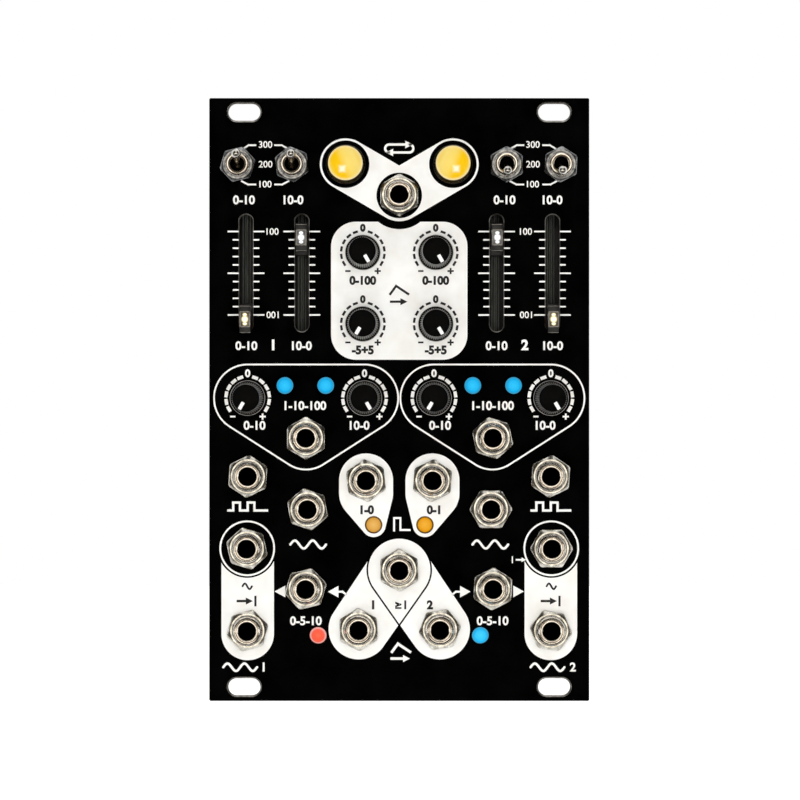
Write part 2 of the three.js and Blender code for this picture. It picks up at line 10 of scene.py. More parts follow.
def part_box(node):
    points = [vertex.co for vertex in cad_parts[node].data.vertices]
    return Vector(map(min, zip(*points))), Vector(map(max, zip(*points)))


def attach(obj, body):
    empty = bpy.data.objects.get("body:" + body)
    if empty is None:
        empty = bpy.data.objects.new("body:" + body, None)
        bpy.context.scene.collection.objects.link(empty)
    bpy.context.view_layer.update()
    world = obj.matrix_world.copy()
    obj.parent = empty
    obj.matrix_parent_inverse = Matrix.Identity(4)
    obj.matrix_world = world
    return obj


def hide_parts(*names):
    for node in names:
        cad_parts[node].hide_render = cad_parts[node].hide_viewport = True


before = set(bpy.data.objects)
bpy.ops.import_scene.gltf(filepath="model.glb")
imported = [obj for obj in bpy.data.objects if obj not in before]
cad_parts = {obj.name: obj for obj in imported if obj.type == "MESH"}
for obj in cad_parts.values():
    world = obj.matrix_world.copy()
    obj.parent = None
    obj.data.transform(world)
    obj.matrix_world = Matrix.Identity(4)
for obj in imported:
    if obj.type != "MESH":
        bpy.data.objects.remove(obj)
for name in ("Cube", "Light", "Camera"):
    if name in bpy.data.objects:
        bpy.data.objects.remove(bpy.data.objects[name])
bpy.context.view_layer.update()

# All sizes below are millimetres in the CAD frame: x right, y to the back, z up, panel front at y -2.
# Heights in the layout tables are measured from the lower rack slots.
mm = 0.001
lowRail = -122.5
printBack = -1.995  # just inside the plate, so that no gap shows
printTop = -2.035
markTop = -2.05  # black marks lie on the white print


def spot(node):
    low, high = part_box(node)
    middle = (low + high) / 2 / mm
    return middle.x, middle.z


def reach(node):
    low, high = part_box(node)
    return np.array(low) / mm, np.array(high) / mm


def frontSpot(node, depth):
    # Middle of the vertices within `depth` of the node's foremost one, with its y last
    points = np.empty(len(node.data.vertices) * 3)
    node.data.vertices.foreach_get("co", points)
    points = points.reshape(-1, 3) / mm
    chosen = points[points[:, 1] < points[:, 1].min() + depth]
    return chosen[:, 0].mean(), chosen[:, 2].mean(), points[:, 1].min()


def camel(name, ending=""):
    first, *others = name.split("_")
    return first + "".join(word.capitalize() for word in others) + ending


# Outlines are loops of (x, z) rows, counter-clockwise seen from the front
def circle(x, z, radius, count=72):
    # Point at angle a is the centre + radius x (cos a, sin a)
    angle = np.linspace(0, 2 * math.pi, count, endpoint=False)
    return np.column_stack([x + radius * np.cos(angle), z + radius * np.sin(angle)])


def roundedBox(x, z, width, height, radius, count=10):
    # Four quarter circles, each about a corner of the box drawn in by its radius
    quarter = np.linspace(0, math.pi / 2, count)
    sides = [(1, 1), (-1, 1), (-1, -1), (1, -1)]
    corners = []
    for turn, (side, rise) in enumerate(sides):
        angle = quarter + turn * math.pi / 2
        middle = (x + side * (width / 2 - radius), z + rise * (height / 2 - radius))
        corners.append(np.array(middle) + radius * np.column_stack([np.cos(angle), np.sin(angle)]))
    return np.concatenate(corners)


def hull(circles, grow=0.0, count=288):
    # Convex outline round circles: in each direction u, c + r u of the circle whose c . u + r is most
    angle = np.linspace(0, 2 * math.pi, count, endpoint=False)
    towards = np.column_stack([np.cos(angle), np.sin(angle)])
    centres = np.array([[x, z] for x, z, radius in circles])
    radii = np.array([radius + grow for x, z, radius in circles])
    chosen = np.argmax(towards @ centres.T + radii, axis=1)
    return centres[chosen] + radii[chosen][:, None] * towards


def stroke(points, width, curved=False):
    # One rectangle per leg of a drawn line: its corners meet by lengthening, a curve's by small discs
    points = np.array(points, dtype=float)
    loops = [circle(x, z, width / 2, 12) for x, z in points] if curved else []
    for start, end in zip(points[:-1], points[1:]):
        half = (end - start) / np.hypot(*(end - start)) * width / 2
        across = np.array([-half[1], half[0]])
        along = half * (0 if curved else 1)
        start, end = start - along, end + along
        loops.append(np.array([start - across, end - across, end + across, start + across]))
    return loops


def inside(loop, spots):
    # Even-odd rule: a spot is inside when a ray from it along x crosses the loop an odd number of times
    x, z = spots[:, 0][:, None], spots[:, 1][:, None]
    ax, az = loop.T
    bx, bz = np.roll(loop, -1, axis=0).T
    crosses = (az > z) != (bz > z)
    rise = np.where(bz == az, 1.0, bz - az)
    return np.sum(crosses & (x < ax + (z - az) * (bx - ax) / rise), axis=1) % 2 == 1


def cutFlat(loops, rule):
    # Triangles of the plane drawn with every loop, kept where the rule of the loops' masks holds
    points = [Vector(point) for point in np.concatenate(loops)]
    edges = []
    start = 0
    for loop in loops:
        edges += [(start + step, start + (step + 1) % len(loop)) for step in range(len(loop))]
        start += len(loop)
    spots, _, faces, *_ = delaunay_2d_cdt(points, edges, [], 0, 1e-5)
    spots = np.array([tuple(point) for point in spots])
    faces = np.array(faces)
    middles = spots[faces].mean(axis=1)
    kept = faces[rule([inside(loop, middles) for loop in loops])]
    a, b, c = spots[kept[:, 0]], spots[kept[:, 1]], spots[kept[:, 2]]
    area = (b[:, 0] - a[:, 0]) * (c[:, 1] - a[:, 1]) - (b[:, 1] - a[:, 1]) * (c[:, 0] - a[:, 0])
    kept[area < 0] = kept[area < 0][:, ::-1]
    return spots, kept[np.abs(area) > 1e-9]


# Shapes are (points, faces, material number), closed and with outward normals
def gridFaces(rows, columns, closedRows=False):
    # Quads between each row of points and the next, every row closed on itself
    row = np.arange(rows if closedRows else rows - 1)[:, None]
    column = np.arange(columns)[None, :]
    nextRow = (row + 1) % rows
    nextColumn = (column + 1) % columns
    near, far = row * columns, nextRow * columns
    corners = [near + column, near + nextColumn, far + nextColumn, far + column]
    return np.stack(corners, axis=-1).reshape(-1, 4).tolist()


def shaped(points, faces, number=0):
    # Welds equal points, drops collapsed faces and turns the whole shape outward by its signed volume
    spots, index = np.unique(np.round(points, 5), axis=0, return_inverse=True)
    index = index.reshape(-1).tolist()
    welded = [list(dict.fromkeys(index[corner] for corner in face)) for face in faces]
    welded = [face for face in welded if len(face) > 2]
    fans = np.array([[face[0], face[k], face[k + 1]] for face in welded for k in range(1, len(face) - 1)])
    a, b, c = spots[fans[:, 0]], spots[fans[:, 1]], spots[fans[:, 2]]
    if np.einsum("ij,ij->i", a, np.cross(b, c)).sum() < 0:
        welded = [face[::-1] for face in welded]
    return spots, welded, number


def slab(loops, rule, front, back, number=0):
    # The cut plane set at two depths, with a wall on every edge that one triangle alone has
    spots, faces = cutFlat(loops, rule)
    used, index = np.unique(faces, return_inverse=True)
    faces = index.reshape(faces.shape)
    spots = spots[used]
    count = len(spots)
    edges = np.concatenate([faces[:, [0, 1]], faces[:, [1, 2]], faces[:, [2, 0]]])
    twins = set(map(tuple, edges[:, ::-1].tolist()))
    rims = [edge for edge in edges.tolist() if tuple(edge) not in twins]
    points = np.concatenate([level(spots, front), level(spots, back)])
    walls = [[b, a, a + count, b + count] for a, b in rims]
    return points, faces.tolist() + (faces[:, ::-1] + count).tolist() + walls, number


def union(masks):
    # Rule of all the loops together
    return np.any(masks, axis=0)


def printed(loops, front=printTop):
    # Loops as one flat mark of ink, from just inside the plate to its front
    return slab(loops, union, front, printBack)


def turned(profile, x, z, segments=48, tube=False, turn=0.0, form=None, number=0):
    # Point = centre + (r sin a, y, r cos a) for each profile row (r, y); form(r, y, a) may change r and y
    profile = np.array(profile, dtype=float)
    angle = turn + np.linspace(0, 2 * math.pi, segments, endpoint=False)[None, :]
    radius = profile[:, 0][:, None] + 0 * angle
    depth = profile[:, 1][:, None] + 0 * angle
    if form is not None:
        radius, depth = form(radius, depth, angle)
    points = np.stack([x + radius * np.sin(angle), depth, z + radius * np.cos(angle)], axis=-1).reshape(-1, 3)
    return shaped(points, gridFaces(len(profile), segments, tube), number)


def lofted(rings, number=0):
    # Rings of equal count joined in order, both ends closed
    count = len(rings[0])
    points = np.concatenate(rings)
    last = (len(rings) - 1) * count
    ends = [list(range(count))[::-1], list(range(last, last + count))]
    return shaped(points, gridFaces(len(rings), count) + ends, number)


def level(loop, depth):
    # The loop set upright at y = depth
    return np.column_stack([loop[:, 0], np.full(len(loop), depth), loop[:, 1]])


def block(x, z, width, height, front, back, radius=0.3, edge=0.15, number=0, count=4):
    # Upright box with rounded corners and softened front and back edges
    full = roundedBox(x, z, width, height, radius, count)
    slim = roundedBox(x, z, width - 2 * edge, height - 2 * edge, max(radius - edge, 0.02), count)
    soft = 0.3 * edge
    middle = roundedBox(x, z, width - 2 * soft, height - 2 * soft, max(radius - soft, 0.02), count)
    rings = [(slim, front), (middle, front + soft), (full, front + edge)]
    rings += [(full, back - edge), (middle, back - soft), (slim, back)]
    return lofted([level(loop, depth) for loop, depth in rings], number)


def moved(shape, turn, shift):
    # Every point becomes turn x point + shift
    points, faces, number = shape
    return points @ np.array(turn).T + np.array(shift), faces, number


def swept(path, radius, count=10, number=0):
    # Wire round a path: ring point = path + radius x (cos a side + sin a other), both square to the path
    path = np.array(path, dtype=float)
    along = np.gradient(path, axis=0)
    along /= np.linalg.norm(along, axis=1)[:, None]
    helper = np.where(np.abs(along[:, :1]) < 0.9, [[1.0, 0, 0]], [[0, 1.0, 0]])
    side = np.cross(along, helper)
    side /= np.linalg.norm(side, axis=1)[:, None]
    other = np.cross(along, side)
    angle = np.linspace(0, 2 * math.pi, count, endpoint=False)
    cos, sin = np.cos(angle)[:, None], np.sin(angle)[:, None]
    return lofted([spot + radius * (cos * a + sin * b) for spot, a, b in zip(path, side, other)], number)


def words(text, x, z, height, bold, front):
    # Text made a mesh, then scaled to its height and centred on its place in the panel's print
    curve = bpy.data.curves.new("words", "FONT")
    curve.body = text
    curve.offset = bold
    curve.extrude = 0.5
    curve.resolution_u = 5
    holder = bpy.data.objects.new("words", curve)
    bpy.context.scene.collection.objects.link(holder)
    graph = bpy.context.evaluated_depsgraph_get()
    mesh = bpy.data.meshes.new_from_object(holder.evaluated_get(graph))
    points = np.empty(len(mesh.vertices) * 3)
    mesh.vertices.foreach_get("co", points)
    points = points.reshape(-1, 3)
    faces = [list(face.vertices) for face in mesh.polygons]
    bpy.data.objects.remove(holder)
    bpy.data.curves.remove(curve)
    bpy.data.meshes.remove(mesh)
    low, high = points.min(axis=0), points.max(axis=0)
    size = height / (high[1] - low[1])
    across = (points[:, 0] - (low[0] + high[0]) / 2) * size + x
    upward = (points[:, 1] - (low[1] + high[1]) / 2) * size + z
    depth = np.where(points[:, 2] > 0, front, printBack)
    return shaped(np.column_stack([across, depth, upward]), faces)


def addPiece(name, shapes, materials, rides, stands=(), sharp=32.0, chart=None):
    # One mesh of several shapes; chart (x, z, wide, high) gives UV = ((x, z) - middle) / size + 0.5
    starts = np.cumsum([0] + [len(shape[0]) for shape in shapes])
    points = np.concatenate([shape[0] for shape in shapes]) * mm
    faces = [[int(start) + k for k in face] for start, (_, own, _) in zip(starts, shapes) for face in own]
    numbers = [number for _, own, number in shapes for face in own]
    mesh = bpy.data.meshes.new(name)
    mesh.from_pydata(points.tolist(), [], faces)
    mesh.polygons.foreach_set("material_index", numbers)
    for material in materials:
        mesh.materials.append(material)
    if chart is not None:
        x, z, wide, high = chart
        corners = np.empty(len(mesh.loops), dtype=np.int32)
        mesh.loops.foreach_get("vertex_index", corners)
        flat = points[corners] / mm
        places = np.column_stack([(flat[:, 0] - x) / wide + 0.5, (flat[:, 2] - z) / high + 0.5])
        mesh.uv_layers.new(name="UVMap").data.foreach_set("uv", places.ravel())
    mesh.shade_smooth()
    mesh.set_sharp_from_angle(angle=math.radians(sharp))
    piece = bpy.data.objects.new(name, mesh)
    bpy.context.scene.collection.objects.link(piece)
    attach(piece, rides)
    if stands:
        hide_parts(*stands)
    return piece


# Materials: patterns in millimetres of the object, colours from sRGB codes
def hexToLinear(code):
    channels = [int(code[k : k + 2], 16) / 255 for k in (1, 3, 5)]
    return [c / 12.92 if c <= 0.04045 else ((c + 0.055) / 1.055) ** 2.4 for c in channels] + [1.0]


def addNode(tree, kind, settings=None, links=None):
    # A setting is the stops of a colour ramp, the value of an unlinked socket, or a property of the node
    node = tree.nodes.new(kind)
    for name, value in (settings or {}).items():
        if name == "stops":
            elements = node.color_ramp.elements
            while len(elements) < len(value):
                elements.new(0.5)
            for element, (place, code) in zip(elements, value):
                element.position = place
                element.color = hexToLinear(code)
        elif isinstance(name, int) or name in node.inputs:
            node.inputs[name].default_value = value
        else:
            setattr(node, name, value)
    for name, source in (links or {}).items():
        tree.links.new(source, node.inputs[name])
    return node


def measured(tree, source, *steps):
    # Chain of maths on one value: each step is (operation, constant or a second output)
    for operation, other in steps:
        node = addNode(tree, "ShaderNodeMath", {"operation": operation}, {0: source})
        if isinstance(other, (int, float)):
            node.inputs[1].default_value = other
        elif other is not None:
            tree.links.new(other, node.inputs[1])
        source = node.outputs[0]
    return source


def surface(name, deep, pale, rough, metal=0.0, grain=1.0, fine=0.3, bump=0.0, stretch=(1, 1, 1), **extra):
    # With n(s) for noise of grain s mm: colour = deep + (pale - deep) n(grain), height = bump mm x n(fine),
    # roughness = low + (high - low) n(fine)
    material = bpy.data.materials.new(name)
    material.use_nodes = True
    tree = material.node_tree
    tree.nodes.clear()
    place = addNode(tree, "ShaderNodeTexCoord").outputs["Object"]
    scale = [share / mm for share in stretch]
    spots = addNode(tree, "ShaderNodeMapping", {"Scale": scale}, {"Vector": place}).outputs[0]
    noises = []
    for size, detail in ((grain, 3.0), (fine, 4.0)):
        settings = {"Scale": 1 / size, "Detail": detail}
        noise = addNode(tree, "ShaderNodeTexNoise", settings, {"Vector": spots}).outputs[0]
        settings = {"From Min": 0.3, "From Max": 0.7}
        noises.append(addNode(tree, "ShaderNodeMapRange", settings, {"Value": noise}).outputs[0])
    broad, small = noises
    shader = addNode(tree, "ShaderNodeBsdfPrincipled", {"Metallic": metal, **extra})
    colours = {"data_type": "RGBA", 6: hexToLinear(deep), 7: hexToLinear(pale)}
    colour = addNode(tree, "ShaderNodeMix", colours, {0: broad})
    tree.links.new(colour.outputs[2], shader.inputs["Base Color"])
    limits = {"To Min": rough[0], "To Max": rough[1]}
    sheen = addNode(tree, "ShaderNodeMapRange", limits, {"Value": small})
    tree.links.new(sheen.outputs[0], shader.inputs["Roughness"])
    if bump:
        relief = addNode(tree, "ShaderNodeBump", {"Distance": bump * mm}, {"Height": small})
        tree.links.new(relief.outputs[0], shader.inputs["Normal"])
    output = addNode(tree, "ShaderNodeOutputMaterial")
    tree.links.new(shader.outputs[0], output.inputs["Surface"])
    return material


def shaderOf(material):
    tree = material.node_tree
    return tree, next(node for node in tree.nodes if node.type == "BSDF_PRINCIPLED")


def lit(material, colour, strength, share):
    # The colour also glows: emission = strength x colour, base colour = share x colour
    tree, shader = shaderOf(material)
    dimmed = addNode(tree, "ShaderNodeVectorMath", {"operation": "SCALE", "Scale": share}, {0: colour})
    tree.links.new(dimmed.outputs[0], shader.inputs["Base Color"])
    tree.links.new(colour, shader.inputs["Emission Color"])
    shader.inputs["Emission Strength"].default_value = strength
    return material


def chartSpot(tree, turn=0.0):
    # Place in the piece's own chart, from -1 to 1 both ways, turned by `turn` degrees
    place = addNode(tree, "ShaderNodeTexCoord").outputs["UV"]
    settings = {"Location": (-0.5, -0.5, 0)}
    centred = addNode(tree, "ShaderNodeMapping", settings, {"Vector": place}).outputs[0]
    settings = {"Scale": (2, 2, 2), "Rotation": (0, 0, math.radians(turn))}
    wide = addNode(tree, "ShaderNodeMapping", settings, {"Vector": centred}).outputs[0]
    split = addNode(tree, "ShaderNodeSeparateXYZ", None, {0: wide})
    length = addNode(tree, "ShaderNodeVectorMath", {"operation": "LENGTH"}, {0: wide})
    return split.outputs[0], split.outputs[1], length.outputs["Value"]


def lampLens(name, stops, strength):
    # Epoxy lens, lit from behind: colour is a ramp of the distance from the lens's axis, rim last
    material = surface(name, "#888888", "#888888", (0.2, 0.3), grain=0.8, **{"Specular IOR Level": 0.12})
    tree, _ = shaderOf(material)
    *_, distance = chartSpot(tree)
    colour = addNode(tree, "ShaderNodeValToRGB", {"stops": stops}, {"Fac": distance}).outputs[0]
    return lit(material, colour, strength, 0.12)


def capPlastic(name):
    # Lit yellow cap: a deeper band of painted shade along one side, by u turned 24 degrees. Then one mix each:
    # paler beyond 0.84 of the radius, nearly black painted shade at its end, and a palest painted highlight
    # round (-0.17, -0.36), by max(|u|, |v|) from there
    material = surface(name, "#fecb0c", "#fde17a", (0.26, 0.36), grain=1.4, **{"Specular IOR Level": 0.2})
    tree, _ = shaderOf(material)
    turnedU, _, distance = chartSpot(tree, -24.0)
    half = measured(tree, turnedU, ("MULTIPLY", 0.5), ("ADD", 0.5))
    # Deeper yellow from 0.16 to 0.34 of the turned u is painted shade on one side of the dome
    stops = [(0.0, "#f8d850"), (0.16, "#fcc70c"), (0.34, "#fdc90a"), (0.54, "#fbda66"), (0.8, "#fadd78")]
    stops.append((1.0, "#f4cd50"))
    colour = addNode(tree, "ShaderNodeValToRGB", {"stops": stops}, {"Fac": half}).outputs[0]
    u, v, _ = chartSpot(tree)
    # Distance from the middle of the painted highlight
    aside = measured(tree, u, ("ADD", 0.17), ("ABSOLUTE", None))
    below = measured(tree, v, ("ADD", 0.36), ("ABSOLUTE", None), ("MAXIMUM", aside))
    mixes = [
        (distance, (0.84, 0.97, 0.0, 1.0), "#ffe8a8"),
        # Near black at the cap's side: painted shade of the gap round it
        (distance, (0.985, 0.998, 0.0, 1.0), "#241803"),
        # Palest patch: a painted highlight
        (below, (0.06, 0.25, 1.0, 0.0), "#fbffd8"),
    ]
    for measure, limits, code in mixes:
        settings = dict(zip(("From Min", "From Max", "To Min", "To Max"), limits))
        share = addNode(tree, "ShaderNodeMapRange", settings, {"Value": measure}).outputs[0]
        settings = {"data_type": "RGBA", 7: hexToLinear(code)}
        colour = addNode(tree, "ShaderNodeMix", settings, {0: share, 6: colour}).outputs[2]
    return lit(material, colour, 0.6, 0.4)


def ribbedPlastic(name):
    # Crests painted pale as painted highlights on the ribs: colour is a ramp of c = (1 + cos(44 a)) / 2, a =
    # atan2(u, v) round the knob's axis
    material = surface(name, "#050505", "#0a0909", (0.3, 0.4), 0.0, 1.6, 0.1, **{"Specular IOR Level": 0.3})
    tree, shader = shaderOf(material)
    u, v, _ = chartSpot(tree)
    steps = [("ARCTAN2", v), ("MULTIPLY", 44.0), ("COSINE", None), ("MULTIPLY", 0.5), ("ADD", 0.5)]
    # The grey and pale stops on the crests are painted highlights
    stops = [(0.0, "#030303"), (0.45, "#0c0b0b"), (0.8, "#6f6d69"), (1.0, "#a8a5a0")]
    colour = addNode(tree, "ShaderNodeValToRGB", {"stops": stops}, {"Fac": measured(tree, u, *steps)})
    tree.links.new(colour.outputs[0], shader.inputs["Base Color"])
    return material


def sliderLens(name, core, ring, edge, strength):
    # Lit window: f = exp(-min(d1, d2)), d1 = (u/0.62)^2 + (v/0.42)^2, d2 = (u/0.42)^2 + ((|v| - 0.66)/0.2)^2
    material = surface(name, edge, core, (0.10, 0.18), grain=0.5, **{"Coat Weight": 0.5})
    tree, _ = shaderOf(material)
    u, v, _ = chartSpot(tree)
    size, rise = measured(tree, u, ("ABSOLUTE", None)), measured(tree, v, ("ABSOLUTE", None))
    wide, slim = [measured(tree, size, ("DIVIDE", part), ("POWER", 2.0)) for part in (0.62, 0.42)]
    tall = measured(tree, rise, ("DIVIDE", 0.42), ("POWER", 2.0), ("ADD", wide))
    steps = [("SUBTRACT", 0.66), ("DIVIDE", 0.2), ("ABSOLUTE", None), ("POWER", 2.0), ("ADD", slim)]
    nearest = [("MINIMUM", measured(tree, rise, *steps)), ("MULTIPLY", -1.0), ("EXPONENT", None)]
    stops = [(0.12, edge), (0.38, ring), (0.62, core), (1.0, core)]
    glow = measured(tree, tall, *nearest)
    colour = addNode(tree, "ShaderNodeValToRGB", {"stops": stops}, {"Fac": glow}).outputs[0]
    return lit(material, colour, strength, 0.3)


def metallic(name, deep, pale, rough, grain=0.9, fine=0.12, bump=0.0, **extra):
    # Bare metal: its colour is that of its reflections
    return surface(name, deep, pale, rough, metal=1.0, grain=grain, fine=fine, bump=bump, **extra)


dull = {"Specular IOR Level": 0.0}
# Black anodised aluminium, dyed after a fine blasting: almost no gloss, so the panel stays a flat black
faint = {"Specular IOR Level": 0.015}
panelBlack = surface("anodisedBlack", "#000000", "#030303", (0.5, 0.6), 0.0, 6, 0.12, 0.003, **faint)
# Screen-printed epoxy ink, white: matt and even
whiteInk = surface("whiteInk", "#f2efe8", "#fdfcf8", (0.5, 0.65), grain=5, fine=0.2, bump=0.003)
# The same ink in black, over the white: matt, a trace of grey
blackInk = surface("blackInk", "#020202", "#080707", (0.5, 0.65), grain=2, fine=0.2, bump=0.003)
# Aluminium bared where slots are milled after dyeing: a grey rim with small scratches
bareAluminium = metallic("bareAluminium", "#8d8984", "#bdb9b2", (0.28, 0.4), 0.8, 0.1, 0.004)
# Nickel-plated hexagon nut: warm silver, clouded where a spanner has rubbed it
nickelNut = metallic("nickelNut", "#a5a195", "#f6f2e8", (0.12, 0.26), 1.3, 0.16, 0.004)
# Nickel-plated turned bushing: brighter and smoother than its nut
nickelBushing = metallic("nickelBushing", "#ccc4b8", "#f7f0e5", (0.08, 0.18), fine=0.14, bump=0.002)
# Blackish nickel: a cooler, darker silver, on the toggles' nuts; the same colour in the sockets' thread gaps
# is painted shade
darkNickelAndGapShade = metallic("darkNickelNut", "#505255", "#a9a9a8", (0.14, 0.28), fine=0.14, bump=0.006)
# Nickel over brass, worn thin on the toggles' bushings: silver with a warm cast
warmBushing = metallic("warmNickelBushing", "#d3c8ba", "#f3ece1", (0.1, 0.2), bump=0.002)
# Polished steel bat: clear, sharp reflections
polishedSteel = metallic("polishedSteel", "#c8c4bc", "#e2ded6", (0.06, 0.12), 1.5, 0.2)
# Moulded nylon of sockets and switches: dull black with a slight skin
socketPlastic = surface("blackMouldedPlastic", "#0b0b0c", "#141415", (0.42, 0.55), 0.0, 2.5, 0.12, 0.006)
# The same nylon deep in a bore, painted near black and without gloss as painted shade, where no light comes
# back
boreBlack = surface("socketBoreBlack", "#010101", "#020202", (0.8, 0.9), grain=1, **dull)
# Moulded ABS knob face: smooth deep black
slight = {"Specular IOR Level": 0.04}
knobFace = surface("blackKnobPlastic", "#010101", "#030303", (0.3, 0.4), 0.0, 1.6, 0.1, 0.003, **slight)
# The knob's moulded ribs: black, with grey crests that are painted highlights
knobGrip = ribbedPlastic("ribbedKnobPlastic")
# The rim of the knob's skirt: a thin grey line, a painted highlight where light catches the edge
knobEdge = surface("knobEdgeWorn", "#8f8c88", "#b5b2ad", (0.2, 0.3), grain=1.2, fine=0.12)
# White enamel in the knob's pointer: clean, half matt
pointerPaint = surface("pointerPaint", "#f1efea", "#fcfbf8", (0.4, 0.5), grain=0.8)
# Rolled steel of the slide control's frame: dark, streaked along its length
along = (1, 1, 0.1)
sliderMetal = surface("sliderFrameSteel", "#3a3c37", "#565952", (0.3, 0.45), 0.2, 0.6, 0.1, stretch=along)
# Acetal carriage: soft black
sliderDark = surface("sliderCarriagePlastic", "#0a0a0a", "#141312", (0.3, 0.42), grain=1.4, fine=0.12)
# Smoky polycarbonate round the lever's window: warm grey, lit a little from within
capFrame = surface("leverCapFrame", "#69645c", "#857f76", (0.2, 0.3), grain=0.7, **{"Coat Weight": 0.2})
# Phenolic carrier under the lever's cap: dull brown
leverBrown = surface("leverCarrierBrown", "#4f3526", "#6b4a36", (0.4, 0.55), grain=0.8)
# Black solder mask, sprayed and cured: near black, glossy in patches
solderMask = surface("solderMaskBlack", "#0b0d0c", "#141816", (0.22, 0.34), grain=3, fine=0.4, bump=0.004)
# The same mask over a copper track: slightly greener and paler
maskTrack = surface("maskedTrack", "#1b221f", "#28312c", (0.22, 0.34), grain=3, fine=0.4)
# Sawn edge of glass and epoxy laminate: straw, with the glass layers as streaks
layers = (1, 6, 1)
bareLaminate = surface("glassLaminateEdge", "#8f8458", "#a89c6c", (0.5, 0.65), grain=0.5, stretch=layers)
# Tinned copper pad and solder: soft bright grey
tinPad = metallic("tinnedPad", "#b9bab8", "#dcdcd9", (0.2, 0.34), 0.6, 0.1, 0.008)
# Moulded epoxy of chips: charcoal with a fine grit
chipEpoxy = surface("chipEpoxy", "#1a1a1b", "#262627", (0.55, 0.7), grain=0.6, fine=0.08, bump=0.008)
# Tinned steel legs and leads: plain grey metal
legSteel = metallic("tinnedLeg", "#a9aaa8", "#cfcfcc", (0.24, 0.36), 0.5, 0.1)
# Shrunk vinyl sleeve of a capacitor: deep blue, smooth
sleeveBlue = surface("capacitorSleeve", "#16233f", "#1f3158", (0.26, 0.36), grain=2)
# Drawn aluminium can: pale, satin
canAluminium = metallic("capacitorCan", "#c2c3c4", "#dadbdb", (0.3, 0.42), 0.8, 0.1)
# Moulded polyester of pin headers: black, satin
headerPlastic = surface("headerPlastic", "#101011", "#1b1b1c", (0.42, 0.54), grain=1.5, fine=0.12, bump=0.006)
# Gold flash on square pins: yellow metal
goldPin = metallic("goldPlatedPin", "#c79b45", "#e0ba66", (0.16, 0.26), 0.8, 0.1)
# Turned brass: yellow metal with rings from the tool round its length
brassHex = metallic("turnedBrass", "#b08d4e", "#cfae6c", (0.2, 0.3), stretch=(1, 0.2, 1))
# Zinc-plated steel: bluish silver
zincSteel = metallic("zincPlatedSteel", "#9b9ea1", "#c4c7c9", (0.2, 0.32), 1.0)
# Moulded polyester of the rotary controls' bodies: dark teal, satin
potBlue = surface("potentiometerCase", "#143b46", "#1c4f5c", (0.38, 0.5), grain=1.6, fine=0.14)
# Fired ceramic of chip capacitors: tan and dry
ceramicTan = surface("chipCapacitorCeramic", "#8a6a48", "#a68359", (0.45, 0.6), grain=0.5)
# Glass-coated chip resistor: black, satin
resistorBlack = surface("chipResistorBody", "#141415", "#1e1e20", (0.35, 0.5), grain=0.5)
# Diffused epoxy lamps, lit: bright and even, darker at the rim
lampColours = {
    "blueLampLens": ([(0.0, "#16c6fa"), (0.6, "#0fb9f4"), (0.86, "#10aae6"), (0.97, "#3d9cc4")], 0.9),
    "skyBlueLampLens": ([(0.0, "#38d2ff"), (0.6, "#2ac6fb"), (0.88, "#1cb2ee"), (0.97, "#4aa6cf")], 0.9),
    "amberLampLens": ([(0.0, "#f6b42a"), (0.7, "#f0a514"), (0.9, "#dd9212"), (0.97, "#6b4a10")], 0.85),
    "paleAmberLampLens": ([(0.0, "#efbb62"), (0.6, "#e6ab4c"), (0.9, "#d69a40"), (0.97, "#6b4a20")], 0.85),
    "redLampLens": ([(0.0, "#ff6a48"), (0.5, "#ff5c3c"), (0.8, "#f5604c"), (0.92, "#f2a79d")], 0.9),
}
lenses = [lampLens(name, *colours) for name, colours in lampColours.items()]
blueLens, skyLens, amberLens, paleAmberLens, redLens = lenses
# Translucent polycarbonate, lit from behind: the buttons' yellow caps and the levers' white or warm windows
buttonYellow = capPlastic("litYellowCap")
warmWindow = sliderLens("warmLitWindow", "#fffbe0", "#e8d9a0", "#4a4030", 1.0)
whiteWindow = sliderLens("whiteLitWindow", "#ffffff", "#d4d6d6", "#4c4c4a", 1.0)

print("materials made")


def placed(start, strip=""):
    # Middle of every node whose name begins so, by its name less what is stripped
    return {name.removeprefix(strip): spot(name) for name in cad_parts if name.startswith(start)}


jackSpots, knobSpots, lampSpots = placed("jack_"), placed("knob_"), placed("lamp_")
sliderSpots = placed("slider_body_", "slider_body_")
toggleSpots = placed("toggle_switch_", "toggle_switch_")
buttonSpots = placed("button_switch_", "button_switch_")
both = (-1, 1)


# Panel: a plate with every opening, its edges eased, and bare metal where slots are cut
plate = {
    "front": -2.0,
    "back": 0.0,
    "corner": 0.35,
    "ease": 0.18,
    "rackAt": 33.02,
    "rackHole": (6.8, 3.6),
    "rackEase": 0.35,
    "sliderSlot": (2.95, 25.0),
    "slotEase": 0.16,
    "holeEase": 0.14,
    "buttonHole": 4.1,
    "lampHole": 1.8,
    "jackHole": 3.08,
    "toggleHole": 2.48,
    "knobHole": 2.62,
}
low, high = reach("front_panel")
panelX, panelZ = (low[0] + high[0]) / 2, (low[2] + high[2]) / 2
panelWide, panelHigh = high[0] - low[0], high[2] - low[2]


# Each opening and the outline give their loop, grown by the easing asked for
def slotLoop(x, z, wide, tall):
    return lambda grow: roundedBox(x, z, wide + 2 * grow, tall + 2 * grow, min(wide, tall) / 2 + grow, 14)


def holeLoop(x, z, radius):
    return lambda grow: circle(x, z, radius + grow, 64)


def outline(grow):
    wide, high = panelWide - 2 * grow, panelHigh - 2 * grow
    return roundedBox(panelX, panelZ, wide, high, plate["corner"] - grow / 2, 5)


